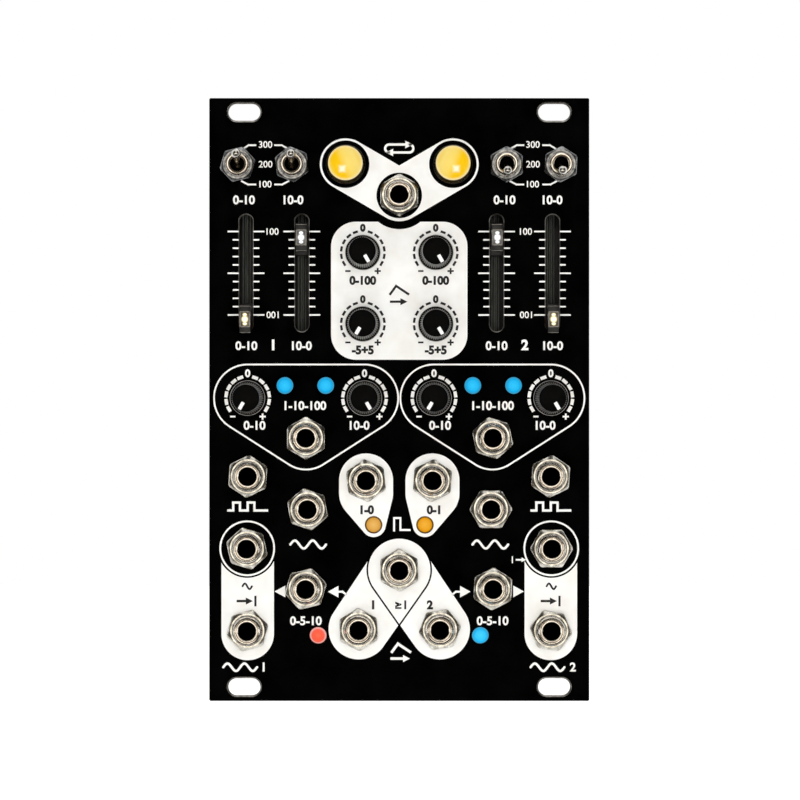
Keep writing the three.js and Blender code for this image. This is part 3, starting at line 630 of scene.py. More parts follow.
openings = []
for side in both:
    for z in (lowRail, 0.0):
        openings.append((slotLoop(side * plate["rackAt"], z, *plate["rackHole"]), plate["rackEase"], 1))
for place in sliderSpots.values():
    openings.append((slotLoop(*place, *plate["sliderSlot"]), plate["slotEase"], 1))
holeKinds = [
    (jackSpots, "jack", 0), (knobSpots, "knob", 0), (toggleSpots, "toggle", 0), (lampSpots, "lamp", 0),
]
for spots, kind, bare in holeKinds + [(buttonSpots, "button", 1)]:
    for place in spots.values():
        openings.append((holeLoop(*place, plate[kind + "Hole"]), plate["holeEase"], bare))

loops = [outline(plate["ease"])] + [make(ease) for make, ease, bare in openings]
points, faces = cutFlat(loops, lambda masks: masks[0] & ~union(masks[1:]))
panelShapes = [(level(points, plate["front"]), faces.tolist(), 0)]
panelShapes.append((level(points, plate["back"]), faces[:, ::-1].tolist(), 0))
for make, ease, bare in [(outline, plate["ease"], 0)] + openings:
    depths = [plate["front"], plate["front"] + ease, plate["back"] - ease, plate["back"]]
    rings = [level(make(grow), depth) for grow, depth in zip((ease, 0.0, 0.0, ease), depths)]
    walls = gridFaces(4, len(rings[0]))
    if make is outline:
        walls = [face[::-1] for face in walls]
    panelShapes.append((np.concatenate(rings), walls, bare))
panel = addPiece("frontPlate", panelShapes, [panelBlack, bareAluminium], "root", ["front_panel"])
work = bmesh.new()
work.from_mesh(panel.data)
bmesh.ops.remove_doubles(work, verts=work.verts, dist=2e-6)
bmesh.ops.dissolve_degenerate(work, edges=work.edges, dist=1e-6)
bmesh.ops.recalc_face_normals(work, faces=work.faces)
openEdges = sum(1 for edge in work.edges if not edge.is_manifold)
work.to_mesh(panel.data)
work.free()
print("panel plate made, open edges:", openEdges)

# Print: white shapes under everything, black marks on them. Radii and line widths as printed.
printSizes = {
    "block": (29.06, 29.41, 5.3, 84.435),
    "blockNotch": 7.2,
    "shaft": 2.95,
    "nut": 3.85,
    "buttonOuter": 5.5,
    "buttonInner": 5.06,
    "cycleInner": 4.85,
    "dropJack": 5.75,
    "dropLong": 2.76,
    "dropLamp": 2.6,
    "lamp": 1.86,
    "timeKnob": 7.35,
    "timeJack": 6.9,
    "timeLine": 0.36,
    "mixTop": 6.63,
    "mixSide": 6.42,
    "mixLine": 0.36,
    "audioRing": (5.93, 5.55, 6.3),
    "audioBlock": (5.6, 27.31, 11.3),
}


def raised(x, height):
    # Place of a height above the lower rack slots
    return x, height + lowRail


def without(first, *others):
    # Loops and the rule of one outline less all the others
    return [first, *others], lambda masks: masks[0] & ~union(masks[1:])


def inWhite(loops, rule):
    # White ink over whatever the rule leaves of the loops
    return slab(loops, rule, printTop, printBack)


def isOnWhite(name):
    return "level" in name or "offset" in name


whiteShapes = []
wide, tall, corner, middle = printSizes["block"]
blockCuts = [circle(*place, printSizes["shaft"]) for name, place in knobSpots.items() if isOnWhite(name)]
notch = circle(*jackSpots["jack_cycle"], printSizes["blockNotch"], 160)
blockLoop = roundedBox(*raised(0, middle), wide, tall, corner, 20)
whiteShapes.append(inWhite(*without(blockLoop, notch, *blockCuts)))

cycle = jackSpots["jack_cycle"]
outer = printSizes["buttonOuter"]
arms = [hull([(*place, outer), (*cycle, outer)]) for place in buttonSpots.values()]
armCuts = [circle(*place, printSizes["buttonInner"], 96) for place in buttonSpots.values()]
armCuts.append(circle(*cycle, printSizes["cycleInner"], 96))
whiteShapes.append(inWhite(arms + armCuts, lambda masks: (masks[0] | masks[1]) & ~union(masks[2:])))

for side in ("rise", "fall"):
    jackAt, lampAt = jackSpots[f"jack_{side}_end"], lampSpots[f"lamp_{side}_end"]
    lower = (jackAt[0], jackAt[1] - printSizes["dropLong"], printSizes["dropJack"])
    drop = hull([(*jackAt, printSizes["dropJack"]), lower, (*lampAt, printSizes["dropLamp"])])
    cuts = [circle(*jackAt, printSizes["nut"]), circle(*lampAt, printSizes["lamp"])]
    whiteShapes.append(inWhite(*without(drop, *cuts)))

for side in ("a", "b"):
    circles = [(*knobSpots[f"knob_{kind}_{side}"], printSizes["timeKnob"]) for kind in ("rise", "fall")]
    circles.append((*jackSpots[f"jack_time_{side}"], printSizes["timeJack"]))
    whiteShapes.append(inWhite(*without(hull(circles), hull(circles, -printSizes["timeLine"]))))

    outer, inner, clear = printSizes["audioRing"]
    jackIn, jackOut = jackSpots[f"jack_signal_in_{side}"], jackSpots[f"jack_signal_out_{side}"]
    whiteShapes.append(inWhite(*without(circle(*jackIn, outer, 120), circle(*jackIn, inner, 120))))
    half, top, foot = printSizes["audioBlock"]
    footX, footZ = raised(jackOut[0], foot)
    arc = np.linspace(math.pi, 2 * math.pi, 48)
    bowl = np.column_stack([footX + half * np.cos(arc), footZ + half * np.sin(arc)])
    shape = np.concatenate([bowl, [[footX + half, top + lowRail], [footX - half, top + lowRail]]])
    cuts = [circle(*jackIn, clear, 120), circle(*jackOut, printSizes["nut"])]
    whiteShapes.append(inWhite(*without(shape, *cuts)))

top = (*jackSpots["jack_mix"], printSizes["mixTop"])
sides = [(*jackSpots[f"jack_curve_{side}"], printSizes["mixSide"]) for side in ("a", "b")]
halves = [hull([top, side]) for side in sides]
grown = [hull([top, side], printSizes["mixLine"]) for side in sides]
cuts = [circle(*jackSpots[name], printSizes["nut"]) for name in ("jack_mix", "jack_curve_a", "jack_curve_b")]


def mixRule(masks):
    # Both halves, less the thin line that runs round each of them
    left, right, leftGrown, rightGrown = masks[:4]
    return (left | right) & ~(leftGrown & ~left) & ~(rightGrown & ~right) & ~union(masks[4:])


whiteShapes.append(inWhite(halves + grown + cuts, mixRule))

# Ticks beside the slots, dashes round the dials, and the leads from the toggles' numbers
tick = {
    "heights": np.linspace(97.06, 79.27, 11),
    "start": 1.55,
    "short": 1.3,
    "long": 2.37,
    "thick": 0.33,
    "corner": 0.08,
}
for x, z in sliderSpots.values():
    for index, height in enumerate(tick["heights"]):
        length = tick["long"] if index % 5 == 0 else tick["short"]
        for side in both:
            centre = x + side * (tick["start"] + length / 2)
            bar = roundedBox(*raised(centre, height), length, tick["thick"], tick["corner"], 3)
            whiteShapes.append(printed([bar]))

dial = {
    "ring": 4.62,
    "zeroAt": 5.3,
    "zeroTall": 1.72,
    "zeroWeights": (0.04, 0.07),
    "blackDash": (0.5, 1.1),
    "whiteDash": (0.7, 1.3),
    "angles": [side * step for side in both for step in range(20, 121, 20)],
    "signAngle": 141,
    "signAt": 5.05,
    "signs": (0.75, 0.95),
    "signLine": 0.38,
}


def direction(angle):
    # Unit vector at the angle, clockwise from straight up, and the one to its right
    out = np.array([math.sin(angle), math.cos(angle)])
    return out, np.array([out[1], -out[0]])


blackShapes = []
for name, (x, z) in knobSpots.items():
    black = isOnWhite(name)
    target, front = (blackShapes, markTop) if black else (whiteShapes, printTop)
    thick, long = dial["blackDash"] if black else dial["whiteDash"]
    for degrees in dial["angles"]:
        out, across = direction(math.radians(degrees))
        middle = np.array([x, z]) + dial["ring"] * out
        corners = [(-1, -1), (1, -1), (1, 1), (-1, 1)]
        bar = np.array([middle + a * across * long / 2 + b * out * thick / 2 for a, b in corners])
        target.append(printed([bar], front))
    target.append(words("0", x, z + dial["zeroAt"], dial["zeroTall"], dial["zeroWeights"][black], front))
    for plus, side in enumerate(both):
        out, _ = direction(math.radians(side * dial["signAngle"]))
        signX, signZ = (x, z) + dial["signAt"] * out
        half = dial["signs"][plus] / 2
        bars = stroke([(signX - half, signZ), (signX + half, signZ)], dial["signLine"])
        if plus:
            bars += stroke([(signX, signZ - half), (signX, signZ + half)], dial["signLine"])
        target.append(printed(bars, front))

lead = {
    "width": 0.36,
    "paths": [
        [(-30.65, 115.45), (-32.09, 115.45), (-33.31, 114.7)],
        [(-26.47, 115.45), (-25.06, 115.45), (-23.73, 114.7)],
        [(-30.67, 107.08), (-32.22, 107.08), (-33.55, 107.77)],
        [(-26.45, 107.08), (-24.97, 107.08), (-23.62, 107.77)],
    ],
}
for path in lead["paths"]:
    for side in (1, -1):
        whiteShapes.append(printed(stroke([raised(side * x, height) for x, height in path], lead["width"])))
print("white print laid out:", len(whiteShapes))

# Words are plain numbers: text, kind of letter (its height and how far it is thickened), and middles
letters = {
    "small": (1.45, 0.01),
    "large": (1.95, 0.03),
    "tall": (2.3, 0.04),
    "black": (1.95, 0.052),
    "slim": (1.9, 0.03),
}
whiteWords = [
    ("300", "small", [(-28.5, 115.6), (28.5, 115.6)]),
    ("200", "small", [(-28.5, 111.4), (28.5, 111.4)]),
    ("100", "small", [(-28.5, 107.15), (28.5, 107.15), (-27.0, 97.06), (27.0, 97.06)]),
    ("001", "small", [(-27.0, 79.3), (27.0, 79.3)]),
    ("0-10", "large", [(-33.1, 103.8), (22.44, 103.8), (-32.58, 72.72), (20.75, 72.72)]),
    ("10-0", "large", [(-22.54, 103.8), (32.68, 103.8), (-20.75, 72.72), (32.79, 72.72)]),
    ("0-10", "large", [(-30.84, 55.75), (8.7, 55.75)]),
    ("10-0", "large", [(-8.44, 55.75), (31.2, 55.75)]),
    ("1-10-100", "large", [(-20.0, 59.95), (20.0, 59.95)]),
    ("0-5-10", "large", [(-19.9, 14.1), (19.9, 14.1)]),
    ("1", "tall", [(-26.87, 72.9)]),
    ("2", "tall", [(26.77, 72.9)]),
    ("1", "large", [(-28.9, 4.25)]),
    ("2", "large", [(37.0, 4.25)]),
    ("1", "small", [(24.1, 27.1)]),
]
blackWords = [
    ("0-100", "black", [(-7.77, 86.63), (7.77, 86.63)]),
    ("-5+5", "black", [(-7.77, 71.8), (7.77, 71.8)]),
    ("1-0", "black", [(-6.83, 37.75)]),
    ("0-1", "black", [(7.3, 37.75)]),
    ("1", "black", [(-5.57, 17.5)]),
    ("≥1", "slim", [(0.31, 17.5)]),
    ("2", "black", [(6.54, 17.5)]),
]
for table, target, front in ((whiteWords, whiteShapes, printTop), (blackWords, blackShapes, markTop)):
    for text, kind, places in table:
        target += [words(text, *raised(*place), *letters[kind], front) for place in places]

# Signs: unit drawings from -1 to 1, placed at a spot and scaled to half sizes in mm
pulse = [(-1, -1), (-0.75, -1), (-0.75, 1), (-0.4, 1), (-0.4, -1), (0, -1), (0, 1)]
pulse += [(0.35, 1), (0.35, -1), (1, -1)]
signs = {
    "pulses": pulse,
    "waves": [(2 * share - 1, math.sin(4 * math.pi * share)) for share in np.linspace(0, 1, 41)],
    "wave": [(2 * share - 1, math.sin(2 * math.pi * share)) for share in np.linspace(0, 1, 25)],
    "envelope": [(-1, -1), (-0.35, 1), (1, -1)],
}


def sign(kind, x, height, halfWide, halfTall, width):
    # Line of that width along the drawing times its half sizes, curved where it is a wave
    points = np.array(signs[kind]) * [halfWide, halfTall] + raised(x, height)
    return stroke(points, width, kind in ("wave", "waves"))


def arrow(x, end, height, width, head):
    # Shaft from x to the head, then a solid head of length and width `head` that ends at x = end
    tip = np.array(raised(end, height))
    neck = tip - [head, 0]
    shaft = stroke([raised(x, height), neck + [0.1, 0]], width)
    return shaft + [np.array([tip, neck + [0, head / 2], neck - [0, head / 2]])]


def triangle(side, tip, base, height, half):
    # Solid triangle that points out to one side of the panel
    return np.array([raised(side * x, height + lift) for x, lift in ((tip, 0), (base, half), (base, -half))])


whiteSigns = [
    sign("waves", -33.9, 4.2, 3.6, 0.8, 0.5),
    sign("waves", 31.6, 4.2, 3.6, 0.8, 0.5),
    sign("envelope", 0.37, 8.35, 1.9, 0.85, 0.55),
    arrow(-1.6, 2.3, 6.05, 0.55, 1.5),
    arrow(25.0, 27.05, 27.1, 0.36, 1.0),
]
blackSigns = [sign("envelope", 0, 84.6, 1.9, 0.85, 0.5), arrow(-1.75, 1.75, 82.1, 0.5, 1.5)]
# Tip, base, height and half width of the heads that point outward, and the shaft of the cranked pair
heads = {"plain": (26.57, 24.28, 20.35, 1.25), "cranked": (15.2, 12.95, 20.3, 1.25)}
crankPath = [(13.15, 20.3), (12.1, 20.3), (11.4, 19.78)]
for side in both:
    whiteSigns.append(sign("pulses", side * 32.3, 38.45, 4.1, 0.85, 0.5))
    whiteSigns.append(sign("waves", side * 19.4, 30.35, 3.8, 0.85, 0.5))
    whiteSigns.append([triangle(side, *heads["plain"])])
    bent = stroke([raised(side * x, height) for x, height in crankPath], 0.42)
    whiteSigns.append([triangle(side, *heads["cranked"])] + bent)
    x = side * 32.4
    blackSigns.append(sign("wave", x, 21.45, 1.0, 0.6, 0.4))
    bar = stroke([raised(x + 1.75, 17.4), raised(x + 1.75, 19.2)], 0.45)
    blackSigns.append(arrow(x - 2.0, x + 1.2, 18.3, 0.5, 1.5) + bar)
pulseGlyph = [(-1.1, 33.35), (-1.1, 36.0), (0.25, 36.0), (0.25, 33.45), (2.2, 33.45)]
whiteSigns.append(stroke([raised(*place) for place in pulseGlyph], 0.42))

# Repeat sign over the upper socket: a flat loop drawn in two halves, each ending in an arrow head
loopSign = {"place": (0.0, 114.75), "half": 3.0, "rise": 0.85, "run": 1.3, "width": 0.5, "head": 1.6}
centre, rise, head = np.array(raised(*loopSign["place"])), loopSign["rise"], loopSign["head"]
bend = np.linspace(-math.pi / 2, math.pi / 2, 13)
for way in (1, -1):
    curve = np.column_stack([-(loopSign["half"] - rise + rise * np.cos(bend)), rise * np.sin(bend)])
    end = centre + way * np.array([loopSign["run"], rise])
    run = stroke(np.concatenate([centre + way * curve, [end]]), loopSign["width"], True)
    whiteSigns.append(run + [np.array([end + [way * head, 0], end + [0, head / 2], end - [0, head / 2]])])

whiteShapes += [printed(loops) for loops in whiteSigns]
blackShapes += [printed(loops, markTop) for loops in blackSigns]
addPiece("whitePrint", whiteShapes, [whiteInk], "root", sharp=20)
addPiece("blackPrint", blackShapes, [blackInk], "root", sharp=20)
print("print made:", len(whiteShapes), "white and", len(blackShapes), "black shapes")

# Sockets: moulded case, threaded bushing with its bore, and hex nut with a chamfered front
jack = {
    "case": (9.0, 10.5),
    "caseDepths": (0.02, 9.3, 10.2),
    "caseBore": 2.3,
    "bushing": [
        (3.0, 0.05), (2.98, -6.0), (2.9, -6.28), (2.78, -6.44), (2.64, -6.5), (2.5, -6.47), (2.42, -6.34),
        (2.36, -6.32), (2.3, -6.38), (2.2, -6.44), (2.04, -6.45), (1.92, -6.4), (1.83, -6.26), (1.8, -6.05),
        (1.8, 1.2), (2.4, 1.2), (2.4, 0.05),
    ],
    "lining": [
        (2.35, 0.9), (2.35, 9.6), (0, 9.6), (0, 9.3), (1.77, 9.3), (1.77, -5.35), (1.79, -5.4), (1.79, 0.9),
    ],
    "thread": (0.5, 0.09, -4.3, -5.95),
    "gap": [(2.96, -3.8), (3.24, -3.8), (3.24, -3.62), (2.96, -3.62)],
    "nut": (4.0, -4.0, -2.0, 2.95, 3.62),
    "pins": [(0, -5.2), (-3.3, 2.2), (3.3, 2.2)],
}
# Steps across a nut's front, in mm, and how far its corners reach as a share of its flats
nutForm = {"recess": 0.4, "groove": 0.3, "lip": 0.36, "bevel": 0.13, "fall": 0.06, "cornerShare": 1.125}
# Degrees that each nut is turned
nutTurns = {
    "jack_cycle": 0, "jack_time_a": 0, "jack_time_b": -12, "jack_trigger_a": 3.6, "jack_trigger_b": 4.2,
    "jack_follow_a": -10.2, "jack_follow_b": 30, "jack_rise_end": -6, "jack_fall_end": 4.2,
    "jack_signal_in_a": -12.6, "jack_signal_in_b": 30, "jack_signal_out_a": 15, "jack_signal_out_b": -22.2,
    "jack_gain_a": 16.2, "jack_gain_b": 3, "jack_mix": -1.2, "jack_curve_a": -2.4, "jack_curve_b": 21,
    "rise_a": 16.8, "fall_a": -7.8, "rise_b": 0, "fall_b": 3,
}


def hexRadius(angle, turn, flat):
    # Distance to a hexagon's side along each angle, a corner at `turn`
    inSide = np.mod(angle - turn, math.pi / 3) - math.pi / 6
    return flat / np.cos(inSide)


def hexNut(x, z, turn, flat, front, back, bore, cone):
    # Cone chamfer: depth = front + (R - cone) tan 30 where the hexagon's radius R passes the cone's radius
    recess, groove, lip, bevel, fall = [nutForm[key] for key in ("recess", "groove", "lip", "bevel", "fall")]
    rows = [
        (bore, front + recess), (bore + groove, front + recess), (bore + groove + 0.02, front + 0.05),
        (bore + lip, front), (cone, front), (0, front), (0, front), (0, back - fall), (0, back), (bore, back),
    ]
    # How far each row past the cone lies inside the hexagon, and how far behind the cone
    inward = {5: bevel, 6: 0.0, 7: 0.0, 8: fall}
    behind = {5: 0.0, 6: fall}

    def form(radius, depth, angle):
        edge = np.minimum(hexRadius(angle, turn, flat)[0], flat * nutForm["cornerShare"])
        for row, step in inward.items():
            radius[row] = edge - step
        for row, step in behind.items():
            depth[row] = front + (radius[row] - cone) * math.tan(math.radians(30)) + step
        return radius, depth

    return turned(rows, x, z, 96, True, turn, form, 1)


def threadedBushing(kind, x, z, segments):
    # Radius = r - deep x |2 frac(y/pitch + angle/turn) - 1| along the thread, with six rows to its pitch
    pitch, deep, start, end = kind["thread"]
    first, *others = kind["bushing"]
    rows = [first, *[(first[0], depth) for depth in np.arange(start, end, -pitch / 6)], *others]

    def form(radius, depth, angle):
        share = np.mod(depth / pitch + angle / (2 * math.pi), 1.0)
        on = (depth < start) & (depth > end) & (radius > 2.0)
        return radius - on * deep * np.abs(2 * share - 1), depth

    return turned(rows, x, z, segments, True, form=form)


def mounted(kind, name, x, z, segments):
    # A bushing and the nut on it, turned as its table row says
    return [threadedBushing(kind, x, z, segments), hexNut(x, z, math.radians(nutTurns[name]), *kind["nut"])]


for name, (x, z) in jackSpots.items():
    low, high = reach(name)
    middle = (low[2] + high[2]) / 2
    front, split, back = jack["caseDepths"]
    outer = roundedBox(x, middle, *jack["case"], 0.5, 5)
    case = [slab(*without(outer, circle(x, z, jack["caseBore"], 40)), front, split + 0.05)]
    case.append(block(x, middle, *jack["case"], split, back, 0.5, 0.2))
    # The bore's lining is painted near black as shade
    case.append(turned(jack["lining"], x, z, 40, True, number=1))
    addPiece(camel(name, "Case"), case, [socketPlastic, boreBlack], "root", [name])
    # The ring in the groove between bushing and nut is painted shade
    parts = mounted(jack, name, x, z, 72) + [turned(jack["gap"], x, z, 48, True, number=2)]
    addPiece(camel(name, "Nut"), parts, [nickelBushing, nickelNut, darkNickelAndGapShade], "root", [name], 26)
print("sockets made:", len(jackSpots))

# Knobs: skirted, ribbed body; each pointer follows the direction of the CAD node's raised line
knob = {
    "body": [
        (0, 5.2), (2.3, 5.2), (2.5, 5.0), (2.5, -2.28), (3.4, -2.3), (3.4, -3.38), (3.3, -3.5), (3.28, -3.9),
        (3.2, -5.6), (3.1, -7.6), (3.0, -9.6), (2.9, -11.6), (2.87, -12.15), (2.85, -12.25), (0, -12.25),
    ],
    "face": [
        (0, -12.2), (2.8, -12.2), (2.85, -12.25), (2.83, -12.36), (2.75, -12.46), (2.6, -12.5), (0, -12.5),
    ],
    "skirt": [
        (3.36, -2.3), (3.66, -2.3), (3.75, -2.4), (3.75, -3.28), (3.66, -3.4), (3.3, -3.42), (3.3, -2.5),
    ],
    "edge": [(3.64, -3.2), (3.64, -3.4), (3.69, -3.43), (3.75, -3.38), (3.75, -3.2)],
    "ribs": (44, 0.17),
    "grip": (-3.85, -12.2),
    "pointer": (0.75, 1.0, 2.72),
    "pointerDepths": (-12.35, -12.56, -12.6),
    "across": 7.5,
}


def ribbed(radius, depth, angle):
    # Radius = r - deep x (0.5 - 0.5 cos(ribs x angle))^1.5 along the grip
    ribs, deep = knob["ribs"]
    start, end = knob["grip"]
    grip = (depth < start) & (depth > end)
    return radius - grip * deep * (0.5 - 0.5 * np.cos(ribs * angle)) ** 1.5, depth


for name, (x, z) in knobSpots.items():
    pointX, pointZ, _ = frontSpot(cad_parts[name], 0.06)
    out, across = direction(math.atan2(pointX - x, pointZ - z))
    wide, start, end = knob["pointer"]
    bar = roundedBox(0, (start + end) / 2, wide, end - start, 0.12, 4)
    bar = np.outer(bar[:, 0], across) + np.outer(bar[:, 1], out) + [x, z]
    middle = bar.mean(axis=0)
    loops = [bar, bar, middle + (bar - middle) * 0.96]
    shapes = [
        turned(knob["body"], x, z, 264, form=ribbed, number=3),
        turned(knob["face"], x, z, 96),
        turned(knob["skirt"], x, z, 96, True),
        # The skirt's grey rim is a painted highlight
        turned(knob["edge"], x, z, 96, True, number=1),
        lofted([level(loop, depth) for loop, depth in zip(loops, knob["pointerDepths"])], 2),
    ]
    materials = [knobFace, knobEdge, pointerPaint, knobGrip]
    chart = (x, z, knob["across"], knob["across"])
    addPiece(camel(name, "Cap"), shapes, materials, name, [name], 40, chart)
print("knobs made:", len(knobSpots))

# Slide controls: steel case with its rails, then the carriage, dark cap ends and lit window on the lever
slide = {
    "case": (7.0, 30.6, 0.03, 10.2),
    "cavity": (5.0, 27.6, 0.8, 7.8),
    "mouth": (3.1, 25.4),
    "rails": [(-0.85, 4.5, 0.2), (-0.3, 4.6, 0.16), (0.1, 4.6, 0.12), (0.6, 5.6, 0.12)],
    "pins": [(across, end) for across in (-2.6, 2.6) for end in (-13.6, 13.6)],
    "carriage": (4.4, 7.0, 1.1, 3.7, 0.3, 0.15, 1),
    "stem": (2.2, 3.4, -2.6, 1.3, 0.2, 0.1, 3),
    "ends": (2.3, 5.7, -7.5, -2.3, 0.22, 0.12, 1),
    "window": (2.3, 3.4, -8.46, -7.3, 0.2, 0.1, 0),
    "glass": (1.8, 2.9, -8.5, -8.3, 0.15, 0.06, 2),
    "lip": (2.32, 0.1, -7.52, -6.9, 0.03, 0.02, 0),
    "lipAt": 2.78,
    "white": ("fall_a", "rise_b"),
}
for name, (x, z) in sliderSpots.items():
    wide, tall, front, back = slide["case"]
    caveWide, caveTall, caveFront, caveBack = slide["cavity"]
    outer = roundedBox(x, z, wide, tall, 0.4, 5)
    inner = roundedBox(x, z, caveWide, caveTall, 0.3, 5)
    mouth = roundedBox(x, z, *slide["mouth"], slide["mouth"][0] / 2, 12)
    case = [slab(*without(outer, inner), caveFront, back)]
    case.append(slab(*without(outer, mouth), front, caveFront, 1))
    case.append(block(x, z, caveWide + 0.1, caveTall + 0.1, caveBack, back - 0.02, 0.2, 0.05, 1))
    for shift, depth, radius in slide["rails"]:
        run = [(x + shift, depth, z + share * caveTall) for share in (-0.5, 0, 0.5)]
        case.append(swept(run, radius, 12))
    for across, end in slide["pins"]:
        case.append(block(x + across, z + end, 1.1, 0.5, back - 0.4, 12.6, 0.1, 0.05))
    node = "slider_body_" + name
    addPiece(camel("slider_" + name, "Case"), case, [sliderMetal, sliderDark], "root", [node])
    lever = "slider_lever_" + name
    x, z, _ = frontSpot(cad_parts[lever], 0.05)
    parts = [block(x, z, *slide[key]) for key in ("carriage", "stem", "ends", "window", "glass")]
    parts += [block(x, z + lift * slide["lipAt"], *slide["lip"]) for lift in both]
    window = whiteWindow if name in slide["white"] else warmWindow
    materials = [capFrame, sliderDark, window, leverBrown]
    chart = (x, z, *slide["glass"][:2])
    addPiece(camel(lever), parts, materials, "slider_" + name, [lever], 30, chart)
print("slide controls made:", len(sliderSpots))

# Toggle switches: case, hex nut, threaded bushing with a mouth painted near black as shade, and the polished
# bat lever
toggle = {
    "case": (6.8, 9.2, 1.2, 9.6, 0.4, 0.15, 0),
    "frame": (6.82, 5.704, 0.03, 6.4, 0.2, 0.1, 1),
    "pins": [(0, -2.4), (0, 0), (0, 2.4)],
    "pin": (1.4, 0.8, 9.5, 12.4, 0.15, 0.05, 1),
    "bushing": [
        (2.38, 0.05), (2.38, -5.7), (2.3, -5.92), (2.16, -6.0), (1.92, -5.97), (1.78, -5.86), (1.72, -5.6),
        (1.55, -5.45), (1.5, -5.2), (1.5, -2.6), (1.9, -2.6), (1.9, 0.05),
    ],
    "thread": (0.45, 0.08, -4.2, -5.6),
    "well": [(1.88, -2.7), (1.88, 0.0), (0, 0.0), (0, -0.6), (1.49, -0.6), (1.49, -2.7)],
    "nut": (3.4, -3.8, -2.0, 2.34, 3.1),
    "pivot": -4.0,
    "ball": 1.0,
    "length": 7.5,
    "ballAngles": [12, 24, 36, 48, 60, 72, 84, 96, 108, 120, 132, 141],
    "shaft": [
        (0.62, -6.6), (0.63, -5.6), (0.68, -4.0), (0.76, -2.6), (0.84, -1.4), (0.98, -0.9), (1.1, -0.4),
        (1.12, 0.2), (1.0, 0.8), (0.7, 1.2), (0, 1.3),
    ],
}
ball, length = toggle["ball"], toggle["length"]
bat = [(0, -length - ball)]
bat += [(ball * math.sin(a), -length - ball * math.cos(a)) for a in np.radians(toggle["ballAngles"])]
bat = turned(bat + toggle["shaft"], 0, 0, 40)
for name, (x, z) in toggleSpots.items():
    node = "toggle_switch_" + name
    case = [block(x, z, *toggle["case"]), block(x, z, *toggle["frame"])]
    case += [block(x + across, z + lift, *toggle["pin"]) for across, lift in toggle["pins"]]
    addPiece(camel(node, "Case"), case, [socketPlastic, zincSteel], "root", [node])
    parts = mounted(toggle, name, x, z, 64) + [turned(toggle["well"], x, z, 40, True, number=2)]
    addPiece(camel(node, "Nut"), parts, [warmBushing, darkNickelAndGapShade, boreBlack], "root", [node], 26)
    lever = "toggle_lever_" + name
    _, ballZ, ballY = frontSpot(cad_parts[lever], 0.12)
    tilt = math.atan2(ballZ - z, toggle["pivot"] - (ballY + ball))
    turn = [[1, 0, 0], [0, math.cos(tilt), math.sin(tilt)], [0, -math.sin(tilt), math.cos(tilt)]]
    tilted = moved(bat, turn, (x, toggle["pivot"], z))
    addPiece(camel(lever), [tilted], [polishedSteel], "toggle_" + name, [lever], 60)
print("toggle switches made:", len(toggleSpots))

# Push buttons: domed cap on a stem, and the switch behind the panel
push = {
    "cap": [
        (0, 5.8), (2.0, 5.8), (2.0, 2.2), (3.55, 2.2), (3.7, 2.05), (3.7, -6.2), (3.69, -6.42), (3.62, -6.62),
        (3.46, -6.84), (3.2, -7.08), (2.8, -7.36), (2.3, -7.62), (1.7, -7.86), (1.1, -8.01), (0.55, -8.08),
        (0, -8.1),
    ],
    "across": 7.4,
    "case": (8.4, 8.4, 5.0, 9.6, 0.4, 0.15, 0),
    "frame": (7.8, 7.8, 4.6, 5.1, 0.5, 0.1, 1),
    "collar": [(2.15, 4.0), (3.1, 4.0), (3.1, 5.0), (2.15, 5.0)],
    "pins": [(across, lift) for across in (-3.4, 3.4) for lift in (-2.5, 2.5)],
    "pin": (0.7, 0.3, 9.4, 12.6, 0.08, 0.04, 1),
}
for name, (x, z) in buttonSpots.items():
    cap, switch = "button_cap_" + name, "button_switch_" + name
    # The side of the chart with the painted highlight and the painted shade band is mirrored between the two
    # caps
    chart = (x, z, push["across"] if name == "a" else -push["across"], push["across"])
    dome = turned(push["cap"], x, z, 96)
    addPiece(camel(cap), [dome], [buttonYellow], "button_" + name, [cap], 40, chart)
    case = [block(x, z, *push["case"]), block(x, z, *push["frame"]), turned(push["collar"], x, z, 48, True)]
    case += [block(x + across, z + lift, *push["pin"]) for across, lift in push["pins"]]
    addPiece(camel(switch), case, [socketPlastic, zincSteel], "root", [switch])
print("buttons made:", len(buttonSpots))

# Lamps: flat-topped epoxy lens, flange, and two leads to the board
lamp = {
    "lens": [
        (0, -2.15), (1.1, -2.14), (1.42, -2.08), (1.58, -1.94), (1.65, -1.7), (1.65, 2.4), (1.95, 2.5),
        (1.95, 3.3), (1.85, 3.4), (0, 3.4),
    ],
    "across": 3.3,
    "pins": [(-1.27, 0), (1.27, 0)],
    "pinRadius": 0.26,
    "pinDepths": (3.3, 8, 12.4),
    "kinds": {
        "lamp_rise_end": (paleAmberLens, "orange"),
        "lamp_fall_end": (amberLens, "orange"),
        "lamp_gain_a": (redLens, "red"),
        "lamp_gain_b": (skyLens, "blue"),
    },
}
for name, (x, z) in lampSpots.items():
    lens, colour = lamp["kinds"].get(name, (blueLens, "blue"))
    parts = [turned(lamp["lens"], x, z, 64)]
    for across, _ in lamp["pins"]:
        path = [(x + across, depth, z) for depth in lamp["pinDepths"]]
        parts.append(swept(path, lamp["pinRadius"], 10, 1))
    chart = (x, z, lamp["across"], lamp["across"])
    addPiece(camel(name), parts, [lens, legSteel], "root", [name], 40, chart)
print("lamps made:", len(lampSpots))

